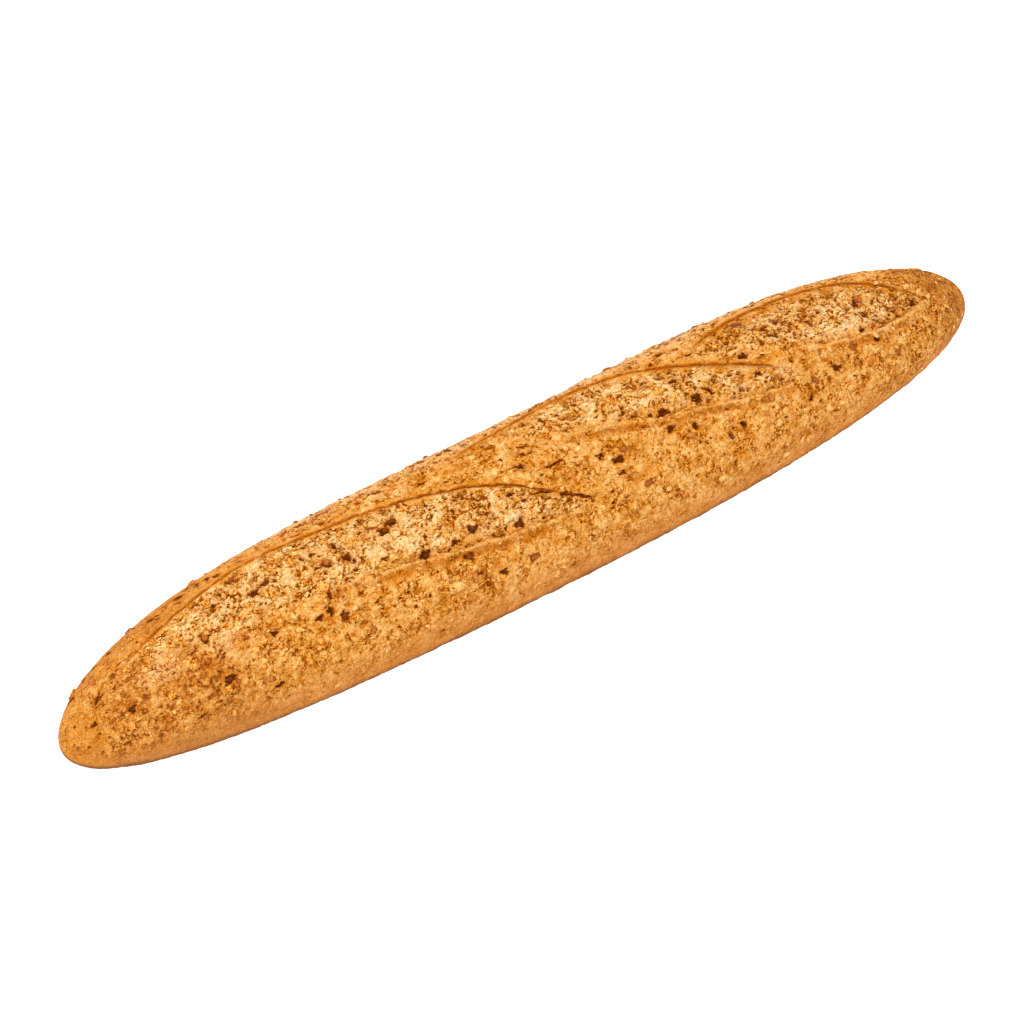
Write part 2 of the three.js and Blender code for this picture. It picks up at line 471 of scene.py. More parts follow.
ROUND_SEEDS = (Spot(205, 636, 3.1, 3.1), Spot(326, 563, 3.0, 2.8), Spot(146, 711, 1.8, 1.5))
DARK_STREAKS = (
    Spot(127, 637, 1.5, 1.6), Spot(146, 618, 2.1, 1.6), Spot(181, 596, 3.6, 1.8), Spot(206, 579, 2.6, 2.4),
    Spot(216, 575, 2.9, 2.0), Spot(226, 563, 2.2, 1.8), Spot(255, 547, 2.1, 1.7), Spot(272, 534, 4.3, 1.8),
    Spot(283, 528, 1.8, 2.0), Spot(304, 529, 1.6, 1.5), Spot(352, 500, 2.9, 1.8), Spot(357, 503, 3.6, 1.2),
    Spot(367, 496, 2.5, 1.8), Spot(379, 491, 3.6, 2.0), Spot(407, 467, 2.9, 2.6), Spot(421, 462, 2.9, 2.2),
    Spot(439, 454, 2.5, 2.0), Spot(421, 483, 4.3, 1.6), Spot(445, 482, 2.9, 1.4), Spot(120, 663, 3.6, 0.8),
    Spot(130, 655, 2.2, 0.9), Spot(220, 591, 3.6, 1.4), Spot(264, 582, 3.6, 2.4), Spot(310, 515, 3.0, 1.6),
    Spot(337, 509, 3.4, 1.4), Spot(470, 438, 2.8, 1.8), Spot(492, 430, 2.2, 1.8), Spot(165, 606, 2.2, 1.4),
)
CREAM_FLAKES = (
    Spot(458, 586, 5.2, 3.6), Spot(261, 661, 3.8, 1.7, -20.0), Spot(297, 664, 6.0, 1.6, 35.0),
    Spot(294, 616, 1.5, 3.0), Spot(918, 290, 5.0, 1.6, 40.0), Spot(928, 296, 4.4, 1.4, 40.0),
    Spot(139, 718, 2.6, 1.1), Spot(905, 286, 5.4, 2.2, 20.0), Spot(300, 630, 3.4, 2.0, -30.0),
)
CREAM_PATCHES = (
    Spot(226, 628, 34, 17), Spot(352, 565, 18, 10), Spot(388, 548, 22, 12), Spot(520, 512, 30, 11),
    Spot(598, 400, 22, 12), Spot(740, 395, 18, 10), Spot(872, 318, 36, 15), Spot(395, 492, 12, 5),
    Spot(270, 600, 16, 8), Spot(705, 375, 14, 8), Spot(160, 668, 22, 12),
    Spot(820, 335, 24, 12), Spot(620, 412, 26, 10),
)


# Relief: flakes, lumps and pits pressed into a sheet of crust or crumb


@dataclass
class Marks:
    """Many flakes or pits of one kind, as arrays with one entry a mark."""

    x: np.ndarray
    arc: np.ndarray
    half_long: np.ndarray
    half_short: np.ndarray
    turn: np.ndarray
    height: np.ndarray
    tone: np.ndarray


def scattered_tone(x: np.ndarray) -> np.ndarray:
    """A tone from 0 to 1 for each thing, unlike its neighbours'."""
    return np.modf(np.abs(x) * 0.618)[0]


def find_spots(form: LoafForm, camera: PhotoCamera, spots: Sequence[Spot]) -> tuple[np.ndarray, np.ndarray]:
    """Finds where on the loaf the spots of the photograph lie.

    Args:
        form: the loaf.
        camera: the photograph's view.
        spots: what shows in it.

    Returns:
        The x and the angle of each spot.
    """
    x, angle = np.meshgrid(np.arange(-199.0, 199.5, 0.5), np.arange(-80.0, 130.5, 0.5), indexing="ij")
    shown = camera.pixels(form.point(x, angle))
    turned_away = form.outward(x, angle) @ camera.axes()[2] > -0.03
    shown[turned_away] = np.inf
    picks = [np.argmin(np.hypot(shown[..., 0] - s.pixel_x, shown[..., 1] - s.pixel_y)) for s in spots]
    return x.ravel()[picks], angle.ravel()[picks]


@dataclass(frozen=True)
class FoundSpots:
    """Spots of the photograph with their places on the loaf."""

    spots: tuple[Spot, ...]
    x: np.ndarray
    angle: np.ndarray

    @classmethod
    def find(cls, form: LoafForm, camera: PhotoCamera, spots: tuple[Spot, ...]) -> "FoundSpots":
        """Finds the spots on the loaf."""
        return cls(spots, *find_spots(form, camera, spots))

    def marks(self, form: LoafForm, depth: float, grow: float = 1.0) -> Marks:
        """The spots as marks.

        Args:
            form: the loaf.
            depth: a mark's depth as a share of its shorter size.
            grow: how many times its own size a mark is.

        Returns:
            The marks, in the order of the spots.
        """
        long = np.array([spot.long for spot in self.spots]) * grow / 2
        short = np.array([spot.short for spot in self.spots]) * grow / 2
        tall = short > long
        turn = np.radians([spot.turn for spot in self.spots]) + np.where(tall, math.pi / 2, 0.0)
        return Marks(
            x=self.x,
            arc=np.radians(self.angle) * form.radius(self.x),
            half_long=np.maximum(long, short),
            half_short=np.minimum(long, short),
            turn=turn,
            height=np.minimum(long, short) * 2 * depth,
            tone=scattered_tone(self.x),
        )


class Sheet:
    """A grid over part of the loaf, with its relief and the masks that the finishes read."""

    WAVER_SEED = 7

    def __init__(self, form: LoafForm, x: np.ndarray, angle: np.ndarray) -> None:
        """Lays the grid.

        Args:
            form: the loaf.
            x: stations along the loaf.
            angle: angles round it, one row of them a station.
        """
        self.form = form
        self.x = x
        self.angle = angle
        self.across = np.broadcast_to(x[:, None], angle.shape)
        self.arc = np.radians(angle) * form.radius(x)[:, None]
        self.lift = np.zeros(angle.shape)
        self.flake = np.zeros(angle.shape)
        self.bare = np.zeros(angle.shape)
        self.masks = {name: np.zeros(angle.shape) for name in ("edge", "pit", "halo", "pale")}
        self.masks["tone"] = np.full(angle.shape, 0.5)
        self.smooth_points = form.point(self.across, angle)
        noise = Noise(self.WAVER_SEED)
        places = [self.smooth_points + noise.APART * k for k in (5, 6)]
        self.waver = [noise.at(place, 1.1) + 0.5 * noise.at(place, 0.6) for place in places]
        self.sway = noise.at(self.smooth_points, 7.0)
        self.ripple = noise.at(self.smooth_points, 2.4)

    def past(self, line: Line) -> np.ndarray:
        """How many millimetres each point lies past a line, towards the near side."""
        return np.radians(self.angle - line.at(self.x)[:, None]) * self.form.radius(self.x)[:, None]

    def past_crease(self, slash: Slash) -> np.ndarray:
        """How many millimetres each point lies past a slash's crease, which wavers beside the ear's line."""
        return self.past(slash.ear) - slash.shift.at(self.x)[:, None] + 0.35 * self.sway + 0.45 * self.ripple

    def past_crest(self, slash: Slash) -> np.ndarray:
        """How many millimetres each point lies past the crest of a slash's lip, which wavers too."""
        return self.past(slash.lip) + 0.6 * self.sway + 0.4 * self.ripple

    def window(self, x: float, arc: float, reach: float) -> tuple[slice, slice]:
        """The part of the grid within reach of a place.

        Args:
            x: the place's x.
            arc: its distance round the loaf from the top, in millimetres.
            reach: how far away a point may be, in millimetres.

        Returns:
            The window's stations and rows.
        """
        first, last = np.searchsorted(self.x, (x - reach, x + reach))
        row = self.arc[min((first + last) // 2, len(self.x) - 1)]
        low, high = np.searchsorted(row, (arc - reach, arc + reach))
        return slice(first, last), slice(low, high)

    def spread(
        self, marks: Marks, ragged: float
    ) -> Iterable[tuple[tuple[slice, slice], np.ndarray, int]]:
        """Goes through the marks.

        Args:
            marks: the marks.
            ragged: how uneven a mark's outline is.

        Returns:
            For each mark that lies on the sheet, its window, the distance from its middle as a share
            of its own size, and its number.
        """
        for k in range(len(marks.x)):
            reach = marks.half_long[k] * 1.2
            window = self.window(marks.x[k], marks.arc[k], reach)
            dx = self.across[window] - marks.x[k]
            if dx.size == 0:
                continue
            loose = 0.55 * min(marks.half_short[k], 1.2)
            dx = dx + loose * self.waver[0][window]
            ds = self.arc[window] - marks.arc[k] + loose * self.waver[1][window]
            c, s = math.cos(marks.turn[k]), math.sin(marks.turn[k])
            u = (dx * c + ds * s) / marks.half_long[k]
            v = (ds * c - dx * s) / marks.half_short[k]
            round_it = np.arctan2(v, u)
            phase = 20.0 * marks.tone[k]
            wave = 0.6 * np.sin(3.0 * round_it + phase) + 0.4 * np.sin(5.0 * round_it - 2.0 * phase)
            yield window, np.hypot(u, v) * (1.0 + ragged * wave), k

    def lay_flakes(self, marks: Marks, tilt: float, seed: int) -> None:
        """Shingles flakes over the sheet, each hiding what lies lower.

        Args:
            marks: the flakes.
            tilt: the steepest slope of a flake.
            seed: the seed of the slopes.
        """
        draw = np.random.default_rng(seed)
        slopes = draw.uniform(-tilt, tilt, (len(marks.x), 2))
        tone, edge = self.masks["tone"], self.masks["edge"]
        for window, r, k in self.spread(marks, 0.2):
            dx = self.across[window] - marks.x[k]
            ds = self.arc[window] - marks.arc[k]
            height = marks.height[k] * (1.0 - 0.3 * r * r) + dx * slopes[k, 0] + ds * slopes[k, 1]
            take = (r < 1.0) & (height > self.flake[window])
            self.flake[window] = np.where(take, height, self.flake[window])
            tone[window] = np.where(take, marks.tone[k], tone[window])
            edge[window] = np.where(take, smooth((r - 0.55) / 0.4), edge[window])

    def press_pits(self, marks: Marks, darkness: float = 1.0) -> None:
        """Presses ragged pits with steep walls into the sheet.

        Args:
            marks: the pits, whose heights are their depths.
            darkness: how strongly the pit is darkened with painted shade.
        """
        pit = self.masks["pit"]
        for window, r, k in self.spread(marks, 0.28):
            bowl = np.clip(1.0 - r * r, 0.0, 1.0)
            self.lift[window] -= marks.height[k] * np.sqrt(bowl) * smooth(bowl * 4.0)
            # The pit mask is painted shade in the pit, darkest in its middle.
            pit[window] = np.maximum(pit[window], darkness * smooth(bowl * 1.9))

    def shade(self, mask: str, marks: Marks, strength: float = 1.0) -> None:
        """Raises a mask softly over each mark.

        Args:
            mask: the mask's name.
            marks: the marks.
            strength: the mask's least value at a mark's middle.
        """
        values = self.masks[mask]
        for window, r, _ in self.spread(marks, 0.3):
            values[window] = np.maximum(values[window], strength * smooth(1.25 * (1.0 - r)))

    def low_ones(self, marks: Marks, field: np.ndarray, level: float) -> Marks:
        """The marks that lie where a field of the sheet is below a level.

        Args:
            marks: the marks.
            field: one value a grid point.
            level: the level.

        Returns:
            Those marks.
        """
        i = np.clip(np.searchsorted(self.x, marks.x), 0, len(self.x) - 1)
        j = np.argmin(np.abs(self.arc[i] - marks.arc[:, None]), axis=1)
        kept = field[i, j] < level
        return Marks(*(values[kept] for values in vars(marks).values()))

    def averaged(self, values: np.ndarray, rounds: int) -> np.ndarray:
        """Values blended with their neighbours' again and again.

        Args:
            values: one value a grid point.
            rounds: how many times they are blended.

        Returns:
            The blended values.
        """
        for _ in range(rounds):
            values = (values + np.roll(values, 1, 0) + np.roll(values, -1, 0)) / 3.0
            values = (values + np.roll(values, 1, 1) + np.roll(values, -1, 1)) / 3.0
        return values

    def settle(self, shape: np.ndarray) -> None:
        """Keeps the relief as masks, and adds the shape that lies under it.

        Args:
            shape: millimetres to add, one value a grid point.
        """
        # The finishes darken the hollows and lighten the bumps of these masks: painted shade and painted
        # highlight.
        self.masks["relief"] = self.lift - self.averaged(self.lift, 4)
        self.masks["hollow"] = self.lift - self.averaged(self.lift, 26)
        # Painted shade spread round each pit.
        spread = 2.4 * self.averaged(self.masks["pit"], 9)
        self.masks["halo"] = np.clip(np.maximum(self.masks["halo"], spread), 0.0, 1.0)
        self.bare = np.maximum(self.bare, np.clip(1.5 * self.masks["pit"], 0.0, 1.0))
        self.lift = self.lift + shape

    @cached_property
    def surface(self) -> np.ndarray:
        """The places of the grid's points, relief and all."""
        return self.form.point(self.across, self.angle, self.lift)


def draw_marks(
    draw: np.random.Generator,
    form: LoafForm,
    count: int,
    angles: tuple[float, float],
    size: tuple[float, float],
    height: tuple[float, float],
    slim: tuple[float, float] = (0.5, 0.85),
    span: tuple[float, float] = (-199.0, 199.0),
    turn: float = math.pi,
) -> Marks:
    """Strews marks evenly over a band of the loaf.

    Args:
        draw: the source of chance.
        form: the loaf.
        count: how many marks.
        angles: the band's first and last angle.
        size: the least and largest half length.
        height: the least and largest height or depth.
        slim: the least and largest width as a share of the length.
        span: the band's first and last x.
        turn: how far a mark may turn from the loaf's length, in radians.

    Returns:
        The marks, in the order drawn.
    """
    tries = draw.uniform(*span, count * 3)
    x = tries[draw.uniform(0, 1, tries.size) < form.girth(tries)][:count]
    angle = draw.uniform(*angles, x.size)
    half = size[0] + (size[1] - size[0]) * draw.uniform(0, 1, x.size) ** 2.4
    return Marks(
        x=x,
        arc=np.radians(angle) * form.radius(x),
        half_long=half,
        half_short=half * draw.uniform(*slim, x.size),
        turn=draw.uniform(-turn / 2, turn / 2, x.size),
        height=draw.uniform(*height, x.size),
        tone=draw.uniform(0, 1, x.size),
    )


# Meshes


def make_piece(
    name: str,
    points: np.ndarray,
    polygons: Sequence[np.ndarray],
    masks: dict[str, np.ndarray] | None = None,
    normals: np.ndarray | None = None,
) -> bpy.types.Object:
    """Makes a mesh object from arrays.

    Args:
        name: the piece's name.
        points: places in millimetres.
        polygons: arrays of corners, one array for triangles and one for quads.
        masks: values for each point that the finish reads.
        normals: directions for each point, where the piece's edge must shade like its neighbour's.

    Returns:
        The new object.
    """
    mesh = bpy.data.meshes.new(name)
    polygons = [p for p in polygons if len(p)]
    corners = np.concatenate([p.ravel() for p in polygons]).astype(np.int32)
    sizes = np.concatenate([np.full(len(p), p.shape[1]) for p in polygons])
    starts = np.concatenate([[0], np.cumsum(sizes)[:-1]]).astype(np.int32)
    mesh.vertices.add(len(points))
    mesh.vertices.foreach_set("co", (points * MM).astype(np.float32).ravel())
    mesh.loops.add(len(corners))
    mesh.loops.foreach_set("vertex_index", corners)
    mesh.polygons.add(len(starts))
    mesh.polygons.foreach_set("loop_start", starts)
    mesh.update(calc_edges=True)
    mesh.shade_smooth()
    for mask, values in (masks or {}).items():
        carried = mesh.attributes.new(mask, "FLOAT", "POINT")
        carried.data.foreach_set("value", values.astype(np.float32).ravel())
    if normals is not None:
        mesh.normals_split_custom_set_from_vertices(normals.tolist())
    piece = bpy.data.objects.new(name, mesh)
    bpy.context.scene.collection.objects.link(piece)
    return piece


def grid_quads(stations: int, rows: int) -> np.ndarray:
    """The quads of a grid of points, outward where rows go round the loaf and stations along it.

    Args:
        stations: how many stations along the loaf.
        rows: how many points at each station.

    Returns:
        Four corners a quad.
    """
    i = np.arange(stations - 1)[:, None] * rows
    j = np.arange(rows - 1)[None, :]
    return np.stack([i + j, i + j + 1, i + rows + j + 1, i + rows + j], axis=-1).reshape(-1, 4)


def grid_normals(points: np.ndarray) -> np.ndarray:
    """The outward directions of a grid of points that goes all the way round the loaf.

    Args:
        points: the grid's places, by station and row.

    Returns:
        Directions of length 1.
    """
    along = np.gradient(points, axis=0)
    around = np.roll(points, -1, 1) - np.roll(points, 1, 1)
    normal = np.cross(around, along)
    return normal / np.maximum(np.linalg.norm(normal, axis=-1, keepdims=True), 1e-9)


# Shader building


@dataclass(frozen=True)
class Signal:
    """A socket of a material's nodes; the operators add the Math nodes of an expression on values."""

    board: "Board"
    socket: bpy.types.NodeSocket | None

    def math(self, operation: str, *others: "Signal | float", flip: bool = False) -> "Signal":
        """One Math node on this value and others.

        Args:
            operation: the Math node's operation.
            others: the other values.
            flip: whether this value comes second.

        Returns:
            The node's result.
        """
        values = [self, *others][:: -1 if flip else 1]
        return self.board.add("ShaderNodeMath", {"operation": operation}, dict(enumerate(values)))

    def __add__(self, other: "Signal | float") -> "Signal":
        """The sum."""
        return self.math("ADD", other)

    def __radd__(self, other: float) -> "Signal":
        """The sum."""
        return self.math("ADD", other)

    def __sub__(self, other: "Signal | float") -> "Signal":
        """The difference."""
        return self.math("SUBTRACT", other)

    def __rsub__(self, other: float) -> "Signal":
        """The difference, with this value taken off."""
        return self.math("SUBTRACT", other, flip=True)

    def __mul__(self, other: "Signal | float") -> "Signal":
        """The product."""
        return self.math("MULTIPLY", other)

    def __rmul__(self, other: float) -> "Signal":
        """The product."""
        return self.math("MULTIPLY", other)

    def at_most(self, other: "Signal | float") -> "Signal":
        """The smaller value."""
        return self.math("MINIMUM", other)

    def at_least(self, other: "Signal | float") -> "Signal":
        """The larger value."""
        return self.math("MAXIMUM", other)

    def clamped(self) -> "Signal":
        """This value held between 0 and 1."""
        return self.at_least(0.0).at_most(1.0)

    def rise(self, low: float, high: float) -> "Signal":
        """0 below low and 1 above high, with a soft step between; low may be the larger.

        Args:
            low: where the result is 0.
            high: where the result is 1.

        Returns:
            The step, from 0 to 1.
        """
        sockets = {0: self, 1: low, 2: high, 3: 0.0, 4: 1.0}
        settings = {"interpolation_type": "SMOOTHSTEP", "clamp": True}
        if low > high:
            sockets.update({1: high, 2: low, 3: 1.0, 4: 0.0})
        return self.board.add("ShaderNodeMapRange", settings, sockets)


Colour = tuple[float, float, float, float]
Stops = tuple[tuple[float, Colour], ...]


class Board:
    """The nodes of one material."""

    def __init__(self, name: str) -> None:
        """Starts an empty material.

        Args:
            name: the material's name.
        """
        self.material = bpy.data.materials.new(name)
        self.material.use_nodes = True
        self.tree = self.material.node_tree
        self.tree.nodes.clear()

    def add(
        self,
        kind: str,
        settings: dict[str, Any] | None = None,
        sockets: dict[str | int, Any] | None = None,
        output: str | int = 0,
    ) -> Signal:
        """Adds one node.

        Args:
            kind: the node's type.
            settings: its settings, which are set first; a ramp's stops are (place, colour) pairs.
            sockets: a value or a link for each input.
            output: the output to return.

        Returns:
            That output, or an empty signal from a node that has none.
        """
        node = self.tree.nodes.new(kind)
        for key, value in (settings or {}).items():
            if key == "stops":
                for _ in range(len(value) - len(node.color_ramp.elements)):
                    node.color_ramp.elements.new(0.5)
                for element, (place, colour) in zip(node.color_ramp.elements, value):
                    element.position, element.color = place, colour
            else:
                setattr(node, key, value)
        for key, value in (sockets or {}).items():
            if isinstance(value, Signal):
                self.tree.links.new(value.socket, node.inputs[key])
            else:
                node.inputs[key].default_value = value
        return Signal(self, node.outputs[output] if node.outputs else None)

    @cached_property
    def place(self) -> Signal:
        """The place on the loaf, in millimetres."""
        at = self.add("ShaderNodeTexCoord", output="Object")
        return self.add("ShaderNodeVectorMath", {"operation": "SCALE"}, {0: at, "Scale": 1.0 / MM})

    def vector(self, operation: str, at: Signal, by: "Signal | tuple[float, float, float]") -> Signal:
        """One Vector Math node on a place."""
        return self.add("ShaderNodeVectorMath", {"operation": operation}, {0: at, 1: by})

    def shifted(self, at: Signal, reach: float) -> Signal:
        """A place moved by reach millimetres, to the right, down and towards the near side."""
        step = reach / math.sqrt(3.0)
        return self.vector("ADD", at, (step, -step, -step))

    def stretched(self, along: float) -> Signal:
        """The place with the loaf's length squeezed, so that what is drawn at it grows longer."""
        return self.vector("MULTIPLY", self.place, (1.0 / along, 1.0, 1.0))

    def bent(self, grain: float, reach: float, at: Signal | None = None) -> Signal:
        """A place pushed about by noise, so that cells drawn at it lose their straight sides.

        Args:
            grain: the size of the noise's lumps, in millimetres.
            reach: how far it pushes, in millimetres.
            at: the place to push, or the place on the loaf.

        Returns:
            The new place.
        """
        at = at or self.place
        sockets = {"Vector": at, "Scale": 1.0 / grain, "Detail": 2.0}
        push = self.add("ShaderNodeTexNoise", sockets=sockets, output="Color")
        even = self.vector("SUBTRACT", push, (0.5, 0.5, 0.5))
        far = self.add("ShaderNodeVectorMath", {"operation": "SCALE"}, {0: even, "Scale": 2.0 * reach})
        return self.vector("ADD", at, far)

    def mask(self, name: str) -> Signal:
        """A mask that the mesh carries."""
        return self.add("ShaderNodeAttribute", {"attribute_name": name}, output="Fac")

    def noise(
        self, grain: float, detail: float = 3.0, rough: float = 0.55, at: Signal | None = None
    ) -> Signal:
        """Noise from 0 to 1 whose lumps are about grain millimetres across."""
        sockets = {"Vector": at or self.place, "Scale": 1.0 / grain, "Detail": detail, "Roughness": rough}
        return self.add("ShaderNodeTexNoise", sockets=sockets)

    def curls(self, grain: float, at: Signal | None = None, sharp: float = 14.0) -> Signal:
        """Thin curling lines, 1 along their middles, about grain millimetres apart."""
        field = self.noise(grain, 2.0, 0.5, at)
        return 1.0 - ((field - 0.5).math("ABSOLUTE") * sharp).at_most(1.0)

    def lit(self, grain: float, at: Signal, reach: float = 0.3) -> Signal:
        """Fine grain as if lit from the upper left, above 0 on slopes that face that way."""
        moved = self.shifted(at, reach)
        return self.noise(grain, 1.5, 0.6, moved) - self.noise(grain, 1.5, 0.6, at)

    def domes(self, grain: float, at: Signal, reach: float = 0.4) -> Signal:
        """Round lumps with sharp valleys between them, lit like the fine grain."""
        return self.cells(grain, at) - self.cells(grain, self.shifted(at, reach))

    def cracks(self, grain: float, at: Signal) -> Signal:
        """Thin lines between lumps about grain millimetres across, 1 along their middles."""
        return self.cells(grain, at, feature="DISTANCE_TO_EDGE").rise(0.14, 0.02)

    def cells(
        self, grain: float, at: Signal | None = None, output: str = "Distance", feature: str = "F1"
    ) -> Signal:
        """Cells about grain millimetres across."""
        sockets = {"Vector": at or self.place, "Scale": 1.0 / grain}
        return self.add("ShaderNodeTexVoronoi", {"feature": feature}, sockets, output)

    def ramp(self, value: Signal, stops: Stops) -> Signal:
        """A colour that goes through stops as a value goes from 0 to 1."""
        return self.add("ShaderNodeValToRGB", {"stops": stops}, {0: value})

    def mix(self, low: "Signal | Colour", high: "Signal | Colour", factor: "Signal | float") -> Signal:
        """A blend of two colours, all low at 0 and all high at 1."""
        return self.add("ShaderNodeMix", {"data_type": "RGBA"}, {0: factor, 6: low, 7: high}, 2)

    def shade_pits(self, skin: Signal, grain: Signal, pit_shade: Colour, brown: Colour) -> Signal:
        """A colour with painted shade in its pits.

        Args:
            skin: the colour.
            grain: fine noise that breaks up the pits' edges.
            pit_shade: the painted shade of a pit.
            brown: the darker painted shade of its middle.

        Returns:
            The new colour.
        """
        pit = self.mask("pit")
        skin = self.mix(skin, pit_shade, (pit * 1.5 - (grain - 0.3) * 1.4).clamped() * 0.85)
        return self.mix(skin, brown, (pit * 2.0 - 0.6 - (grain - 0.3) * 2.2).clamped())

    def bump(self, height: Signal, depth: float) -> Signal:
        """A Bump node for relief of depth millimetres."""
        sockets = {"Height": height, "Distance": depth * MM, "Strength": 1.0}
        return self.add("ShaderNodeBump", sockets=sockets)

    def finish(self, sockets: dict[str | int, Any]) -> bpy.types.Material:
        """Closes the material with one Principled shader.

        Args:
            sockets: a value or a link for each of the shader's inputs.

        Returns:
            The material.
        """
        shader = self.add("ShaderNodeBsdfPrincipled", sockets=sockets)
        self.add("ShaderNodeOutputMaterial", sockets={"Surface": shader})
        return self.material


# Finishes


FLAKY_CRUST: Stops = (
    (0.0, linear(90, 22, 0)),
    (0.14, linear(142, 58, 0)),
    (0.3, linear(192, 107, 14)),
    (0.46, linear(224, 148, 56)),
    (0.62, linear(242, 172, 87)),
    (0.8, linear(254, 193, 113)),
    (1.0, linear(255, 206, 130)),
)
PALE_CRUMB: Stops = (
    (0.0, linear(78, 16, 0)),
    (0.16, linear(140, 60, 0)),
    (0.32, linear(196, 116, 20)),
    (0.48, linear(231, 163, 76)),
    (0.64, linear(248, 187, 109)),
    (0.82, linear(255, 206, 138)),
    (1.0, linear(255, 220, 162)),
)


@dataclass(frozen=True)
class CrustFinish:
    """Baked crust: golden flakes with cream rims, orange hollows and brown pits; plainer down the sides. Its
    colour holds painted light: shade in hollows, pits, creases, under the lips and near the floor,
    highlights on the lip crests and a sheen on the far upper crust.
    """

    side_dark: Colour = linear(170, 94, 22)
    side: Colour = linear(206, 131, 58)
    side_light: Colour = linear(232, 159, 88)
    amber: Colour = linear(224, 130, 18)
    sleek: Colour = linear(226, 144, 50)
    rolled: Colour = linear(232, 144, 42)
    # Painted highlight: the lit crest of each lip.
    crest: Colour = linear(254, 188, 98)
    # Painted shadow: the band just under each lip's crest.
    under: Colour = linear(194, 108, 20)
    # Painted shade: the dark line in the crease under each ear.
    crease: Colour = linear(176, 88, 0)
    # Painted shade round pits and grains.
    halo: Colour = linear(214, 120, 14)
    # Painted shade in pits and round grains and seeds; brown is its darkest middle.
    pit_shade: Colour = linear(158, 76, 2)
    brown: Colour = linear(96, 38, 4)
    baked: Colour = linear(182, 117, 60)
    # Painted shade along the underside near the floor, and a browner baked sole.
    low: Colour = linear(112, 64, 28)
    # Painted sheen on the far upper crust; the cream patches are lightened with the same colour.
    hazy: Colour = linear(252, 204, 148)

    def make(self) -> bpy.types.Material:
        """Makes the finish.

        Returns:
            The material.
        """
        b = Board("baked_crust")
        relief, hollow, tone, edge = (b.mask(name) for name in ("relief", "hollow", "tone", "edge"))
        side, rolled, sleek = b.mask("side"), b.mask("rolled"), b.mask("sleek")
        bent = b.bent(1.5, 0.9)
        grain = b.noise(0.6, 1.5, 0.6)
        lumps = b.noise(2.4, 3.0, 0.55, bent)
        blotch = b.noise(6.0, 2.0, 0.5, bent)
        broad = b.noise(18.0, 2.0)
        chip = b.cells(2.1, bent, "Color")
        bright = b.curls(1.25, bent, 11.0) * lumps.rise(0.42, 0.56)
        dark = b.curls(1.6, b.bent(2.2, 1.0), 12.0) * lumps.rise(0.58, 0.42)
        busy = 0.55 + b.noise(7.0, 2.0).rise(0.38, 0.6) * 0.75
        shaken = b.bent(0.9, 0.4, bent)
        lit = b.lit(0.95, bent) * 0.9 + b.domes(1.9, shaken) * 0.8
        crack = b.cracks(2.2, shaken) * blotch.rise(0.58, 0.44)
        fine = ((grain - 0.5) * 0.4 + lit + bright * 0.24 - dark * 0.3 - crack * 0.22) * busy
        # relief and hollow paint shade in the hollows and highlight on the bumps.
        uneven = relief * 0.3 + hollow * 0.1 + (tone - 0.5) * 0.26 + (chip - 0.5) * 0.14
        uneven = uneven + (lumps - 0.5) * 0.55 + (blotch - 0.5) * 1.0 + (broad - 0.5) * 0.5
        uneven = uneven + fine + b.mask("clump") * 0.06 - edge * (0.62 - tone) * 0.16
        # The sheen mask is a painted sheen on the far upper crust.
        pale, hazy, ends = b.mask("pale"), b.mask("hazy"), b.mask("ends")
        value = 0.56 + uneven * (0.76 + hazy * 0.4 + pale * 0.5 - ends * 0.06) + pale * 0.3 - ends * 0.13
        flaky = b.ramp(value, FLAKY_CRUST)
        patch = b.noise(4.6, 2.0, 0.5, bent).rise(0.52, 0.66)
        flat = (0.8 - (grain - 0.5).math("ABSOLUTE") * 3.0).at_least(0.0)
        flaky = b.mix(flaky, self.amber, patch * flat * 0.7)
        # mottle mixes random tone with painted light and shade from lit and relief.
        mottle = 0.52 + (grain - 0.5) * 0.8 + (lumps - 0.5) * 0.4
        mottle = mottle + (blotch - 0.5) * 0.6 + (broad - 0.5) * 0.5
        mottle = (mottle + lit * 0.72 + bright * 0.2 - dark * 0.18 + relief * 0.3).clamped()
        plain = b.mix(self.side_dark, self.side, mottle.rise(0.0, 0.6))
        plain = b.mix(plain, self.side_light, mottle.rise(0.5, 1.0))
        skin = b.mix(flaky, plain, side)
        # Painted sheen over the far upper crust, strongest on slopes painted as lit; the cream patches take
        # the same pale colour.
        veil = (0.8 + lit * 2.0 - dark * 0.8 - crack * 0.6 + relief * 0.4).clamped()
        skin = b.mix(skin, self.hazy, (hazy * 0.92 + pale * 0.5).clamped() * veil)
        streaks = b.noise(1.2, 3.0, 0.65, b.stretched(4.0)) - 0.5
        even = 0.95 - (grain - 0.5).math("ABSOLUTE") * 2.8 - lit.math("ABSOLUTE") * 0.6
        smoothed = (even - (streaks * -10.0).at_least(0.0)).clamped()
        skin = b.mix(skin, self.sleek, sleek * smoothed)
        skin = b.mix(skin, self.rolled, rolled * smoothed)
        # Painted shadow in the band under each lip.
        skin = b.mix(skin, self.under, b.mask("under") * (0.95 - bright * 0.5))
        # Painted highlight along each lip's crest.
        skin = b.mix(skin, self.crest, b.mask("crest") * 0.8)
        skin = b.mix(skin, self.baked, ends * (0.24 + side * 0.2))
        # Painted shade round pits and grains.
        skin = b.mix(skin, self.halo, (b.mask("halo") * (0.2 + lumps)).clamped() * 0.7)
        # Painted shade near the floor, and a browner baked sole.
        skin = b.mix(skin, self.low, b.mask("low") * (1.0 - mottle * 0.3))
        # Painted shade along the crease under each ear.
        skin = b.mix(skin, self.crease, (b.mask("crease") * (0.7 + grain * 0.5)).clamped())
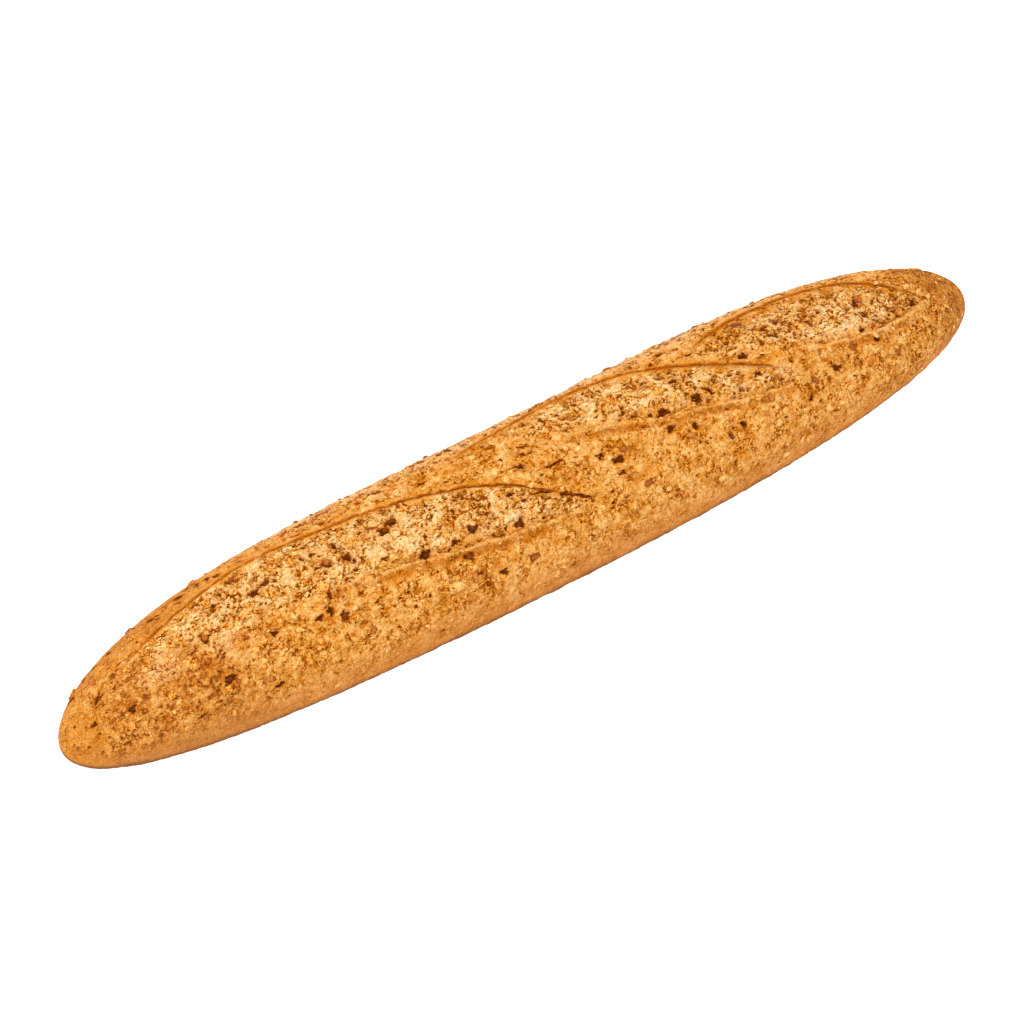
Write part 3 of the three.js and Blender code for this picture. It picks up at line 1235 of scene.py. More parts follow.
        # Painted shade in the pits.
        skin = b.shade_pits(skin, grain, self.pit_shade, self.brown)
        height = grain * 0.8 + (bright * 0.5 - dark * 0.5 + lumps * 0.6) * (1.0 - side * 0.5)
        return b.finish(
            {
                "Base Color": skin,
                "Roughness": 0.55 + grain * 0.3,
                "Normal": b.bump(height, 0.65),
                "Specular IOR Level": 0.02,
            }
        )


@dataclass(frozen=True)
class CrumbFinish:
    """Torn crumb in an opened slash: pale cream-tan with golden hollows and dark pores, or browned. Its
    colour holds painted shade in the hollows, pores, pits and crease.
    """

    skin: Colour = linear(234, 152, 48)
    amber: Colour = linear(226, 134, 16)
    gilt: Colour = linear(232, 154, 56)
    # Painted shade: the dark line in the crease under the ear.
    crease: Colour = linear(176, 88, 0)
    # Painted shade round pits and grains.
    halo: Colour = linear(216, 124, 16)
    # Painted shade in pits and round grains and seeds; dark is its darkest middle.
    pit_shade: Colour = linear(158, 78, 2)
    # Painted shade in the crumb's pores.
    pore_shade: Colour = linear(146, 70, 2)
    dark: Colour = linear(96, 38, 4)

    def make(self) -> bpy.types.Material:
        """Makes the finish.

        Returns:
            The material.
        """
        b = Board("torn_crumb")
        relief, hollow, tone = b.mask("relief"), b.mask("hollow"), b.mask("tone")
        toast, skin = b.mask("toast"), b.mask("skin")
        bent = b.bent(1.2, 0.6)
        grain = b.noise(0.6, 1.5, 0.6)
        lumps = b.noise(2.2, 3.0, 0.55, bent)
        blotch = b.noise(5.5, 2.0, 0.5, bent)
        broad = b.noise(14.0, 2.0)
        chip = b.cells(1.8, bent, "Color")
        bright = b.curls(1.1, bent, 11.0) * lumps.rise(0.42, 0.56)
        dark = b.curls(1.4, b.bent(1.8, 0.9), 12.0) * lumps.rise(0.6, 0.44)
        busy = 0.5 + b.noise(6.5, 2.0).rise(0.38, 0.6) * 0.9
        shaken = b.bent(0.8, 0.4, bent)
        lit = b.lit(0.9, bent) * 1.3 + b.domes(1.7, shaken) * 0.9
        crack = b.cracks(2.0, shaken) * blotch.rise(0.6, 0.44)
        fine = ((grain - 0.5) * 0.6 + lit + bright * 0.3 - dark * 0.44 - crack * 0.26) * busy
        # relief and hollow paint shade in the hollows and highlight on the bumps.
        value = 0.63 + relief * 0.35 + hollow * 0.12 + (tone - 0.5) * 0.24 + (chip - 0.5) * 0.14
        value = value + (lumps - 0.5) * 0.46 + (blotch - 0.5) * 0.86 + (broad - 0.5) * 0.5
        value = value + fine + b.mask("clump") * 0.12 + b.mask("pale") * 0.2
        bread = b.mix(b.ramp(value, PALE_CRUMB), b.ramp(value, FLAKY_CRUST), toast)
        patch = b.noise(4.0, 2.0, 0.5, bent).rise(0.53, 0.66)
        flat = (0.8 - (grain - 0.5).math("ABSOLUTE") * 3.0).at_least(0.0)
        bread = b.mix(bread, self.amber, patch * flat * 0.65)
        bread = b.mix(bread, self.gilt, (b.mask("gilt") * (0.75 + (lumps - 0.5) * 1.2)).clamped() * 0.8)
        long_way = b.bent(0.9, 0.4, b.stretched(2.2))
        open_ones = b.cells(1.3, long_way, "Color")
        # Painted shade in the pores, which the bump sinks as well.
        pore_shade = b.cells(1.3, long_way).rise(0.36, 0.14) * open_ones.rise(0.56, 0.66)
        bread = b.mix(bread, self.pore_shade, pore_shade * (1.0 - skin) * 0.9)
        golden = b.mix(self.skin, self.amber, b.mask("amber"))
        streaks = b.noise(1.2, 3.0, 0.65, b.stretched(4.0)) - 0.5
        even = 1.0 - (grain - 0.5).math("ABSOLUTE") * 2.6 - lit.math("ABSOLUTE") * 0.5
        bread = b.mix(bread, golden, skin * (even - (streaks * -9.0).at_least(0.0)).clamped())
        # Painted shade round pits and grains.
        bread = b.mix(bread, self.halo, (b.mask("halo") * (0.2 + lumps)).clamped() * 0.65)
        # Painted shade along the crease under the ear.
        bread = b.mix(bread, self.crease, (b.mask("crease") * (0.7 + grain * 0.5)).clamped())
        # Painted shade in the pits.
        bread = b.shade_pits(bread, grain, self.pit_shade, self.dark)
        height = grain * 0.8 + bright * 0.45 - dark * 0.5 - pore_shade * 0.7 + lumps * 0.6
        return b.finish(
            {
                "Base Color": bread,
                "Roughness": 0.6 + grain * 0.3,
                "Normal": b.bump(height, 0.65),
                "Specular IOR Level": 0.02,
            }
        )


@dataclass(frozen=True)
class FlakeFinish:
    """Toasted oat and bran flakes, from cream through gold to brown."""

    name: str
    base: float
    reach: float
    fine: float

    def make(self) -> bpy.types.Material:
        """Makes the finish.

        Returns:
            The material.
        """
        b = Board(self.name)
        grain = b.noise(0.6, 1.5, 0.6)
        bent = b.bent(1.5, 0.9)
        lumps = b.noise(2.2, 3.0, 0.6, bent)
        bright = b.curls(1.4, bent, 10.0) * lumps.rise(0.4, 0.58)
        dark = b.curls(1.7, b.bent(2.2, 1.0), 10.0) * lumps.rise(0.6, 0.42)
        value = self.base + b.mask("tone") * self.reach + (grain - 0.5) * self.fine + (lumps - 0.5) * 0.5
        value = value + b.lit(0.95, bent) * 0.9 + b.domes(1.9, b.bent(0.9, 0.4, bent)) * 0.7
        # Painted contact shade darkens each flake's low rim.
        value = value + bright * 0.22 - dark * 0.3 - b.mask("rim") * 0.12
        return b.finish(
            {
                "Base Color": b.ramp(value, FLAKY_CRUST),
                "Roughness": 0.5 + grain * 0.3,
                "Normal": b.bump(grain * 0.8 + bright * 0.4, 0.5),
                "Specular IOR Level": 0.04,
            }
        )


@dataclass(frozen=True)
class GrainFinish:
    """Roasted grains, deep brown through red-brown to a greyish tan."""

    black: Colour = linear(88, 38, 8)
    brown: Colour = linear(128, 62, 14)
    red: Colour = linear(178, 92, 26)
    tan: Colour = linear(212, 142, 66)

    def make(self) -> bpy.types.Material:
        """Makes the finish.

        Returns:
            The material.
        """
        b = Board("roasted_grains")
        crease = b.noise(0.7, 4.0, 0.7)
        stops = ((0.0, self.black), (0.3, self.brown), (0.62, self.red), (0.95, self.tan))
        # Painted contact shade darkens each grain's low rim.
        colour = b.ramp(b.mask("tone") + 0.12 + (crease - 0.5) * 1.6 - b.mask("rim") * 0.42, stops)
        return b.finish(
            {
                "Base Color": colour,
                "Roughness": 0.45 + crease * 0.3,
                "Normal": b.bump(crease, 0.6),
                "Specular IOR Level": 0.08,
            }
        )


@dataclass(frozen=True)
class FloorFinish:
    """A plain pale sheet to lie on, lit through from below like a light table."""

    white: Colour = (0.36, 0.36, 0.36, 1.0)
    shade: Colour = (0.34, 0.34, 0.34, 1.0)
    glow: float = 1.05

    def make(self) -> bpy.types.Material:
        """Makes the finish.

        Returns:
            The material.
        """
        b = Board("pale_floor")
        sockets = {"Base Color": b.mix(self.shade, self.white, b.noise(60.0)), "Roughness": 0.9}
        sockets.update({"Emission Color": (1.0, 1.0, 1.0, 1.0), "Emission Strength": self.glow})
        return b.finish(sockets)


@dataclass(frozen=True)
class Studio:
    """A pale floor under a big soft light, with light from all round."""

    floor_half: float = 6.0
    sky: float = 0.91
    key_power: float = 134.0
    key_size: float = 1.3
    key_place: tuple[float, float, float] = (-1.5, 0.1, 4.12)

    def make(self) -> None:
        """The floor and the lights."""
        half = self.floor_half
        corners = np.array([(-half, -half, 0), (half, -half, 0), (half, half, 0), (-half, half, 0)]) / MM
        floor = make_piece("floor", corners, [np.array([[0, 1, 2, 3]])])
        floor.data.materials.append(FloorFinish().make())
        world = bpy.data.worlds.new("studio")
        bpy.context.scene.world = world
        world.use_nodes = True
        back = world.node_tree.nodes["Background"]
        back.inputs["Color"].default_value = (1.0, 1.0, 1.0, 1.0)
        back.inputs["Strength"].default_value = self.sky
        light = bpy.data.lights.new("soft_key", "AREA")
        light.shape, light.size, light.energy = "DISK", self.key_size, self.key_power
        key = bpy.data.objects.new("soft_key", light)
        key.location = self.key_place
        key.rotation_mode = "QUATERNION"
        key.rotation_quaternion = (-Vector(self.key_place)).to_track_quat("-Z", "Y")
        bpy.context.scene.collection.objects.link(key)
        view = bpy.context.scene.view_settings
        view.view_transform, view.look = "Standard", "None"


# The crust


@dataclass(frozen=True)
class Landmarks:
    """Everything that the photograph shows at a place of its own, found on the loaf."""

    hollows: FoundSpots
    roasted: FoundSpots
    reddish: FoundSpots
    grey: FoundSpots
    seeds: FoundSpots
    streaks: FoundSpots
    cream_flakes: FoundSpots
    cream_patches: FoundSpots

    @classmethod
    def find(cls, form: LoafForm, camera: PhotoCamera) -> "Landmarks":
        """Finds them all.

        Args:
            form: the loaf.
            camera: the photograph's view.

        Returns:
            Every group, found on the loaf.
        """
        dark = (HOLLOWS, ROASTED_GRAINS, REDDISH_GRAINS, GREY_GRAINS, ROUND_SEEDS, DARK_STREAKS)
        groups = (*dark, CREAM_FLAKES, CREAM_PATCHES)
        return cls(*(FoundSpots.find(form, camera, spots) for spots in groups))

    def press(self, sheet: Sheet) -> None:
        """Presses pits into a sheet at the hollows, grains, seeds and streaks, with painted shade in them
        and round them.

        Args:
            sheet: the crust, or the crumb of a slash.
        """
        form = sheet.form
        sheet.press_pits(self.hollows.marks(form, 0.45, 1.22))
        sheet.press_pits(self.roasted.marks(form, 0.35, 1.2), 0.9)
        sheet.press_pits(self.streaks.marks(form, 0.3, 1.15), 0.9)
        sheet.press_pits(self.reddish.marks(form, 0.2, 1.15), 0.35)
        sheet.press_pits(self.grey.marks(form, 0.2, 1.15), 0.5)
        sheet.press_pits(self.seeds.marks(form, 0.3, 1.35), 0.8)
        # Painted shade round the hollows and grains.
        for group in (self.hollows, self.roasted, self.reddish):
            sheet.shade("halo", group.marks(form, 0.0, 2.6), 0.85)
        sheet.shade("pale", self.cream_patches.marks(form, 0.0))


class Part(Enum):
    """The strips that the crust is made in, as first and last angle."""

    crust_far = (-120.0, 20.0)
    crust_near = (20.0, 140.0)
    crust_sole = (140.0, 240.0)


@dataclass
class Crust:
    """The whole outside of the loaf, with grooves where the slashes are."""

    form: LoafForm
    landmarks: Landmarks
    stations: int = 640
    rows: dict[Part, int] = field(
        default_factory=lambda: {Part.crust_far: 154, Part.crust_near: 132, Part.crust_sole: 26}
    )
    crowding: float = 1.2
    ear_back: float = 0.9
    ear_width: float = 1.4
    lip_height: float = 0.5
    lip_width: float = 0.7
    bed_depth: float = 2.8
    sink: float = 0.6
    skyline: float = -50.0
    near_side_from: float = 62.0
    far_side_from: float = 76.0
    side_fade: float = 40.0
    # Angle from which the underside is darkened.
    low_from: float = 98.0
    # The band of the painted sheen, in degrees on the far side.
    sheen_from: float = 24.0
    sheen_to: float = 88.0
    sleek_until: float = -92.0
    tips_from: float = 186.0
    right_end_from: float = 160.0
    seed: int = 11

    def lay(self) -> Sheet:
        """The crust as one sheet all the way round, with its relief.

        Returns:
            The sheet.
        """
        v = np.linspace(-1.0, 1.0, self.stations + 1)[1:-1]
        x = np.sign(v) * (1.0 - (1.0 - np.abs(v)) ** self.crowding) * self.form.length / 2
        bands = [np.linspace(*part.value, self.rows[part], endpoint=False) for part in Part]
        angle = np.broadcast_to(np.concatenate(bands), (len(x), sum(self.rows.values()))).copy()
        sheet = Sheet(self.form, x, angle)
        shape = self.raise_ears(sheet)
        self.roughen(sheet)
        sheet.settle(shape)
        return sheet

    def raise_ears(self, sheet: Sheet) -> np.ndarray:
        """Works out the ear and the lip of each slash and the bed between them.

        Args:
            sheet: the crust, whose masks of them are filled in.

        Returns:
            The millimetres that they add.
        """
        shape = np.zeros(sheet.angle.shape)
        waver, ripple = sheet.sway, sheet.ripple
        for name in ("rolled", "crease", "crest", "under", "inside", "sleek"):
            sheet.masks[name] = np.zeros(sheet.angle.shape)
        for slash in SLASHES:
            shown = np.abs(sheet.angle) < 90
            opened = slash.openness(sheet.x)[:, None] * shown
            lipped = opened * slash.lipped(sheet.x)[:, None]
            past_ear = sheet.past_crease(slash)
            past_lip = sheet.past_crest(slash)
            merged = 1.0 - slash.lipped(sheet.x)[:, None]
            edge = smooth((-past_lip - 0.3 - 1.2 * merged) / (1.0 + 2.0 * merged))
            within = smooth((past_ear + 0.2) / 0.9) * edge
            ear = slash.ear_height * bell((past_ear + self.ear_back) / self.ear_width)
            lip = self.lip_height * (0.8 + 0.5 * waver) * bell((past_lip - 0.3) / self.lip_width)
            groove = 0.3 * bell((past_lip - 2.6) / 1.6)
            shape += opened * (ear * (1.0 - within) - self.bed_depth * within) + lipped * (lip - groove)
            for name, values in {
                "rolled": opened * smooth((past_ear + slash.roll + waver) / 1.4) * smooth(1.5 - past_ear),
                # Painted shade in the crease under the ear.
                "crease": opened * slash.crease_shade(past_ear) * np.clip(0.95 + 0.6 * ripple, 0.0, 1.0),
                # Painted highlight along each lip's crest.
                "crest": lipped * bell((past_lip - 0.1) / 0.5) * (0.85 + 0.7 * ripple),
                # Painted shadow in the band under each lip's crest.
                "under": lipped * bell((past_lip - 2.2) / 1.5) * (0.8 + 0.5 * waver),
                "inside": opened * within,
            }.items():
                sheet.masks[name] = np.maximum(sheet.masks[name], values)
        return shape

    def roughen(self, sheet: Sheet) -> None:
        """Lays flakes and lumps on the crust and presses pits into it.

        Args:
            sheet: the crust, with the masks of its ears and lips filled in.
        """
        form = self.form
        draw = np.random.default_rng(self.seed)
        noise = Noise(self.seed + 1)
        at = sheet.smooth_points
        bent = noise.bent(at, 5.0, 1.6)
        low = noise.at(at, 9.0) * 4.0
        near = sheet.angle - self.near_side_from - low - 6.0 * noise.at(at, 22.0)
        far = -sheet.angle - self.far_side_from + low - 6.0 * noise.at(at + 60.0, 22.0)
        side = np.clip(smooth(near / self.side_fade) + smooth(far / self.side_fade), 0.0, 1.0)
        rolled = sheet.masks["rolled"]
        behind = -sheet.past(SLASHES[0].ear) / 3.0
        above = smooth((92.0 + sheet.angle) / 26.0)
        sleek = smooth((self.sleek_until - sheet.across) / 30.0) * smooth(behind) * (1.0 - side) * above
        sleek = np.maximum(sleek, smooth((np.abs(sheet.across) - self.tips_from) / 9.0))
        sheet.masks["sleek"] = sleek
        clump = noise.at(bent, 6.0) + 0.5 * noise.at(bent + 40.0, 3.0)
        sheet.masks["clump"] = clump
        sheet.lay_flakes(draw_marks(draw, form, 1500, (-112, 88), (1.0, 3.2), (0.1, 0.45)), 0.12, 5)
        sheet.lay_flakes(draw_marks(draw, form, 11000, (-115, 130), (0.5, 1.5), (0.05, 0.35)), 0.2, 6)
        lumps = 0.3 * clump + 0.22 * noise.folded(bent, 3.1) + 0.15 * noise.folded(bent, 1.7)
        sheet.lift = lumps + 0.1 * noise.at(at, 0.95)
        sheet.press_pits(draw_marks(draw, form, 620, (-108, -26), (0.6, 2.1), (0.4, 1.2), (0.35, 0.7)), 0.95)
        sheet.press_pits(draw_marks(draw, form, 420, (-34, 78), (0.4, 1.1), (0.3, 0.8)), 0.85)
        clustered = draw_marks(draw, form, 2600, (-110, 84), (0.5, 1.5), (0.3, 1.0), (0.4, 0.8))
        sheet.press_pits(sheet.low_ones(clustered, clump, -0.26), 0.45)
        sheet.press_pits(draw_marks(draw, form, 1800, (-112, 100), (0.4, 1.1), (0.15, 0.45)), 0.25)
        self.landmarks.press(sheet)
        tips = smooth(form.girth(sheet.x) / 0.35)[:, None]
        skyline = bell((sheet.angle - self.skyline) / 15.0)
        rough = (1.0 - 0.75 * side) * (1.0 - 0.6 * rolled) * (1.0 - 0.7 * sleek) * (1.0 - 0.45 * skyline)
        sheet.lift = (sheet.lift + sheet.flake * 0.9 - self.sink) * rough * tips
        sheet.lift += (0.12 * noise.at(at, 3.4) + 0.07 * noise.folded(bent, 1.6)) * side * tips
        sheet.masks["pit"] *= (1.0 - 0.6 * side) * (1.0 - 0.45 * rolled)
        sheet.masks["side"] = side
        # The low mask darkens the underside towards the floor: painted shade, and a browner baked sole.
        shown = 0.45 + 0.42 * smooth((np.sin(np.radians(sheet.angle)) + 0.2) / 0.9)
        below = np.abs(sheet.angle) - self.low_from + 0.5 * low
        sheet.masks["low"] = shown * smooth(below / (26.0 - 12.0 * shown))
        # The sheen band: painted sheen over the far upper crust.
        sheen = smooth((-sheet.angle - self.sheen_from - low) / 26.0)
        sheen = sheen * smooth((self.sheen_to + sheet.angle + low) / 30.0)
        sheet.masks["hazy"] = sheen * (1.0 - 0.8 * np.maximum(sleek, rolled))
        left_end = form.left_end(sheet.across)
        right_end = 1.3 * smooth((sheet.across - self.right_end_from) / 30.0)
        sheet.masks["ends"] = np.maximum(left_end, right_end)
        covered = 0.95 * side + rolled + 0.5 * sheet.masks["crest"] + sheet.masks["inside"] + 0.85 * sleek
        covered = covered + sheet.masks["crease"] + 0.6 * skyline
        sheet.bare = np.clip(covered + 0.55 * left_end, 0.0, 1.0)

    def make(self, sheet: Sheet) -> list[bpy.types.Object]:
        """The crust's strips as pieces.

        Args:
            sheet: the crust as one sheet.

        Returns:
            One piece a strip.
        """
        points = sheet.surface
        normals = grid_normals(points)
        finish = CrustFinish().make()
        tips = self.form.point(np.array([-1.0, 1.0]) * self.form.length / 2, np.zeros(2))
        stations = len(sheet.x)
        first = 0
        pieces = []
        for part in Part:
            columns = np.arange(first, first + self.rows[part] + 1) % sheet.angle.shape[1]
            first += self.rows[part]
            rows = len(columns)
            shown = np.concatenate([points[:, columns].reshape(-1, 3), tips])
            facing = np.concatenate([normals[:, columns].reshape(-1, 3), [[-1, 0, 0], [1, 0, 0]]])
            j = np.arange(rows - 1)
            last = (stations - 1) * rows
            left_fan = np.stack([np.full(rows - 1, stations * rows), j + 1, j], -1)
            right_fan = np.stack([np.full(rows - 1, stations * rows + 1), last + j, last + j + 1], -1)
            fans = np.concatenate([left_fan, right_fan])
            values = {}
            for name, mask in sheet.masks.items():
                values[name] = np.append(mask[:, columns].ravel(), [mask[0, 0], mask[-1, 0]])
            piece = make_piece(part.name, shown, [fans, grid_quads(stations, rows)], values, facing)
            piece.data.materials.append(finish)
            pieces.append(piece)
        return pieces


# The torn crumb


@dataclass
class TornCrumb:
    """The crumb that swells in one slash, tucked under its ear and its lip."""

    form: LoafForm
    landmarks: Landmarks
    slash: Slash
    seed: int
    step: float = 0.42
    tuck_ear: float = 0.9
    tuck_lip: float = 0.9

    def lay(self) -> Sheet:
        """The crumb as a sheet between the ear and the lip, with its lumps and pores.

        Returns:
            The sheet.
        """
        slash, form = self.slash, self.form
        x = np.arange(slash.left + 3.0, slash.right - 2.5, self.step)
        radius = form.radius(x)
        ear = slash.ear.at(x) - np.degrees(self.tuck_ear / radius)
        lip = np.maximum(slash.lip.at(x) + np.degrees(self.tuck_lip / radius), ear + 2.0)
        widest = np.max(np.radians(lip - ear) * radius)
        rows = int(widest / self.step)
        angle = ear[:, None] + (lip - ear)[:, None] * np.linspace(0.0, 1.0, rows)
        sheet = Sheet(form, x, angle)
        past_ear, past_lip = sheet.past_crease(slash), sheet.past_crest(slash)
        opened = slash.openness(x)[:, None]
        uneven = Noise(self.seed + 9).at(sheet.smooth_points, 4.0)
        skin = opened * smooth((slash.skin * (1.0 + 0.6 * uneven) + 0.8 - past_ear) / 1.4)
        self.roughen(sheet, skin)
        sheet.lift *= smooth(opened * 2.5) * (1.0 - 0.8 * skin)
        roll = 0.3 * bell((past_ear - 1.8) / 1.2) - 1.0 * smooth((0.8 - past_ear) / 1.4)
        merged = 1.0 - slash.lipped(x)[:, None]
        fold = (0.1 * merged - 0.4) * smooth((past_lip + 1.5 + 1.5 * merged) / (1.4 + 2.6 * merged))
        sheet.settle(opened * (roll + fold) - 0.25)
        sheet.masks["skin"] = skin
        sheet.masks["amber"] = slash.amber * skin
        sheet.masks["gilt"] = opened * slash.lipped(sheet.x)[:, None] * smooth((past_lip + 5.0) / 3.0)
        streaked = np.clip(0.95 + 0.6 * sheet.ripple, 0.0, 1.0)
        # The crease mask is painted shade along the crease under the ear.
        sheet.masks["crease"] = opened * slash.crease_shade(past_ear) * streaked
        return sheet

    def roughen(self, sheet: Sheet, skin: np.ndarray) -> None:
        """Lays lumps on the crumb and opens its pores.

        Args:
            sheet: the crumb.
            skin: how far each point is skinned over, from 0 to 1.
        """
        form, slash = self.form, self.slash
        draw = np.random.default_rng(self.seed)
        noise = Noise(self.seed)
        at = sheet.smooth_points
        bent = noise.bent(at, 4.0, 1.4)
        ends = (slash.left, slash.right)
        band = (float(sheet.angle.min()), float(sheet.angle.max()))
        flakes = draw_marks(draw, form, 1100, band, (0.7, 2.4), (0.05, 0.4), span=ends)
        sheet.lay_flakes(flakes, 0.18, self.seed)
        clump = noise.at(bent, 5.5) + 0.5 * noise.at(bent + 40.0, 2.8)
        sheet.masks["clump"] = clump
        sheet.lift = 0.4 * clump + 0.2 * noise.folded(bent, 2.6) + 0.12 * noise.folded(bent, 1.4)
        sheet.lift += 0.7 * sheet.flake - 0.5
        fine = draw_marks(draw, form, 1000, band, (0.4, 1.0), (0.25, 0.7), (0.3, 0.6), ends, 1.0)
        sheet.press_pits(fine, 0.6)
        clustered = draw_marks(draw, form, 1400, band, (0.45, 1.4), (0.3, 1.0), (0.35, 0.8), ends, 1.4)
        sheet.press_pits(sheet.low_ones(clustered, clump, -0.24), 0.75)
        large = draw_marks(draw, form, 150, band, (0.6, 1.5), (0.5, 1.2), (0.35, 0.7), ends, 1.0)
        sheet.press_pits(large, 0.9)
        self.landmarks.press(sheet)
        merged = 1.0 - slash.lipped(sheet.x)[:, None]
        near_lip = smooth((sheet.past(slash.lip) + 14.0) / 12.0)
        toast = slash.toast + 0.4 * noise.at(at, 12.0) + 0.7 * merged * near_lip
        sheet.masks["toast"] = np.clip(toast, 0.0, 1.0)
        sheet.bare = np.clip(0.75 - 0.4 * slash.toast - 0.6 * merged + skin, 0.0, 1.0)

    def make(self, sheet: Sheet, finish: bpy.types.Material) -> bpy.types.Object:
        """The crumb as a piece.

        Args:
            sheet: the crumb as a sheet.
            finish: its material.

        Returns:
            The piece.
        """
        quads = grid_quads(*sheet.angle.shape)
        piece = make_piece(self.slash.name + "_crumb", sheet.surface.reshape(-1, 3), [quads], sheet.masks)
        piece.data.materials.append(finish)
        return piece


# Small things that lie on the loaf


@dataclass
class Ground:
    """The finished surface that small things lie on: the crust, and the crumb where a slash is open."""

    form: LoafForm
    crust: Sheet
    crumbs: list[tuple[Slash, Sheet]]
    least_open: float = 0.2

    def look_up(self, x: np.ndarray, angle: np.ndarray) -> tuple[np.ndarray, np.ndarray, np.ndarray]:
        """Looks up the surface.

        Args:
            x: how far along the loaf.
            angle: degrees round it from its top.

        Returns:
            The places on the surface, how bare of small things it is there, from 0 to 1, and whether it
            is in a clump or between clumps, from about 1 to -1.
        """
        i = np.clip(np.searchsorted(self.crust.x, x), 0, len(self.crust.x) - 1)
        j = np.clip(np.searchsorted(self.crust.angle[0], angle), 0, self.crust.angle.shape[1] - 1)
        place, bare = self.crust.surface[i, j], self.crust.bare[i, j]
        clump = self.crust.masks["clump"][i, j]
        for slash, crumb in self.crumbs:
            i = np.clip(np.searchsorted(crumb.x, x), 0, len(crumb.x) - 1)
            low, high = crumb.angle[i, 0], crumb.angle[i, -1]
            share = (angle - low) / (high - low)
            shown = (slash.openness(x) > self.least_open) & (share > 0.03) & (share < 0.98)
            j = np.clip((share * (crumb.angle.shape[1] - 1)).astype(int), 0, crumb.angle.shape[1] - 1)
            place = np.where(shown[:, None], crumb.surface[i, j], place)
            bare = np.where(shown, crumb.bare[i, j], bare)
            clump = np.where(shown, crumb.masks["clump"][i, j], clump)
        return place, bare, clump

    def frames(self, x: np.ndarray, angle: np.ndarray, turn: np.ndarray, tilt: np.ndarray) -> np.ndarray:
        """The directions along, across and out of things that lie on the loaf.

        Args:
            x: how far along the loaf.
            angle: degrees round it from its top.
            turn: how far each thing is turned about its own middle, in radians.
            tilt: how far its front edge is raised, in radians.

        Returns:
            Three directions a thing.
        """
        out = self.form.outward(x, angle)
        a, b, c = out.T
        along = np.stack([1.0 - a * a / (1.0 + c), -a * b / (1.0 + c), -a], -1)
        across = np.cross(out, along)
        cos, sin = np.cos(turn)[:, None], np.sin(turn)[:, None]
        along, across = along * cos + across * sin, across * cos - along * sin
        cos, sin = np.cos(tilt)[:, None], np.sin(tilt)[:, None]
        along, out = along * cos + out * sin, out * cos - along * sin
        return np.stack([along, across, out], axis=1)


@dataclass(frozen=True)
class Shape:
    """A small shape of unit half size; points with the same knob number are pushed in or out together."""

    points: np.ndarray
    triangles: np.ndarray
    knobs: np.ndarray


def ball(sides: int, rings: int) -> Shape:
    """A round shape made of rings of points and a point at each end.

    Args:
        sides: how many points to a ring.
        rings: how many rings.

    Returns:
        The shape.
    """
    down = math.pi * np.arange(1, rings + 1) / (rings + 1)
    turn = 2 * math.pi * (np.arange(sides)[None, :] + 0.5 * (np.arange(rings)[:, None] % 2)) / sides
    ring = np.sin(down)[:, None]
    body = np.stack([ring * np.cos(turn), ring * np.sin(turn), np.cos(down)[:, None] + 0 * turn], -1)
    points = np.concatenate([body.reshape(-1, 3), [[0, 0, 1], [0, 0, -1]]])
    j = np.arange(sides)
    k = (j + 1) % sides
    top, last = rings * sides, (rings - 1) * sides
    triangles = [np.stack([np.full(sides, top), j, k], -1)]
    for low in range(0, last, sides):
        triangles.append(np.stack([low + j, low + sides + j, low + k], -1))
        triangles.append(np.stack([low + k, low + sides + j, low + sides + k], -1))
    triangles.append(np.stack([np.full(sides, top + 1), last + k, last + j], -1))
    return Shape(points, np.concatenate(triangles), np.arange(len(points)))


def chip(sides: int) -> Shape:
    """A flat flake whose rim is one ring of points above and one below.

    Args:
        sides: how many corners its outline has.

    Returns:
        The shape.
    """
    turn = 2 * math.pi * np.arange(sides) / sides
    flat = np.stack([np.cos(turn), np.sin(turn), 0 * turn], -1)
    points = np.concatenate([flat + (0, 0, 0.8), flat * 0.93 - (0, 0, 1.0), [[0, 0, 1], [0, 0, -1]]])
    j = np.arange(sides)
    k = (j + 1) % sides
    top = np.stack([np.full(sides, 2 * sides), j, k], -1)
    under = np.stack([np.full(sides, 2 * sides + 1), sides + k, sides + j], -1)
    rim = [np.stack([j, sides + j, sides + k], -1), np.stack([j, sides + k, k], -1)]
    knobs = np.concatenate([j, j, [sides, sides]])
    return Shape(points, np.concatenate([top, under, *rim]), knobs)


def sliver(steps: int) -> Shape:
    """A thin curved shaving with a three-cornered section, pointed at both ends.

    Args:
        steps: how many sections it has between its ends.

    Returns:
        The shape.
    """
    t = np.linspace(-1.0, 1.0, steps + 2)[1:-1]
    wide = 0.4 * np.sqrt(1.0 - t**2)
    bow = 0.6 * (1.0 - 2.0 * t**2)
    zero = 0.0 * t
    corners = np.stack([[t, bow - wide, zero - 0.6], [t, bow + wide, zero - 0.6], [t, bow, zero + 1.0]], 1)
    body = corners.transpose(2, 1, 0).reshape(-1, 3)
    points = np.concatenate([body, [[-1, -0.6, 0], [1, -0.6, 0]]])
    last = 3 * steps - 3
    triangles = []
    for k in range(3):
        after = (k + 1) % 3
        low = 3 * np.arange(steps - 1)
        triangles.append(np.stack([low + k, low + 3 + after, low + after], -1))
        triangles.append(np.stack([low + k, low + 3 + k, low + 3 + after], -1))
        triangles.append(np.array([[3 * steps, k, after], [3 * steps + 1, last + after, last + k]]))
    knobs = np.concatenate([np.repeat(np.arange(steps), 3), [steps, steps + 1]])
    return Shape(points, np.concatenate(triangles), knobs)


@dataclass
class Bits:
    """Many small things of one kind, as arrays with one entry a thing."""

    x: np.ndarray
    angle: np.ndarray
    half: np.ndarray
    turn: np.ndarray
    tone: np.ndarray
    tilt: np.ndarray
    sink: np.ndarray

    def joined(self, other: "Bits") -> "Bits":
        """These bits and others together."""
        pairs = zip(vars(self).values(), vars(other).values())
        return Bits(*(np.concatenate([mine, theirs]) for mine, theirs in pairs))


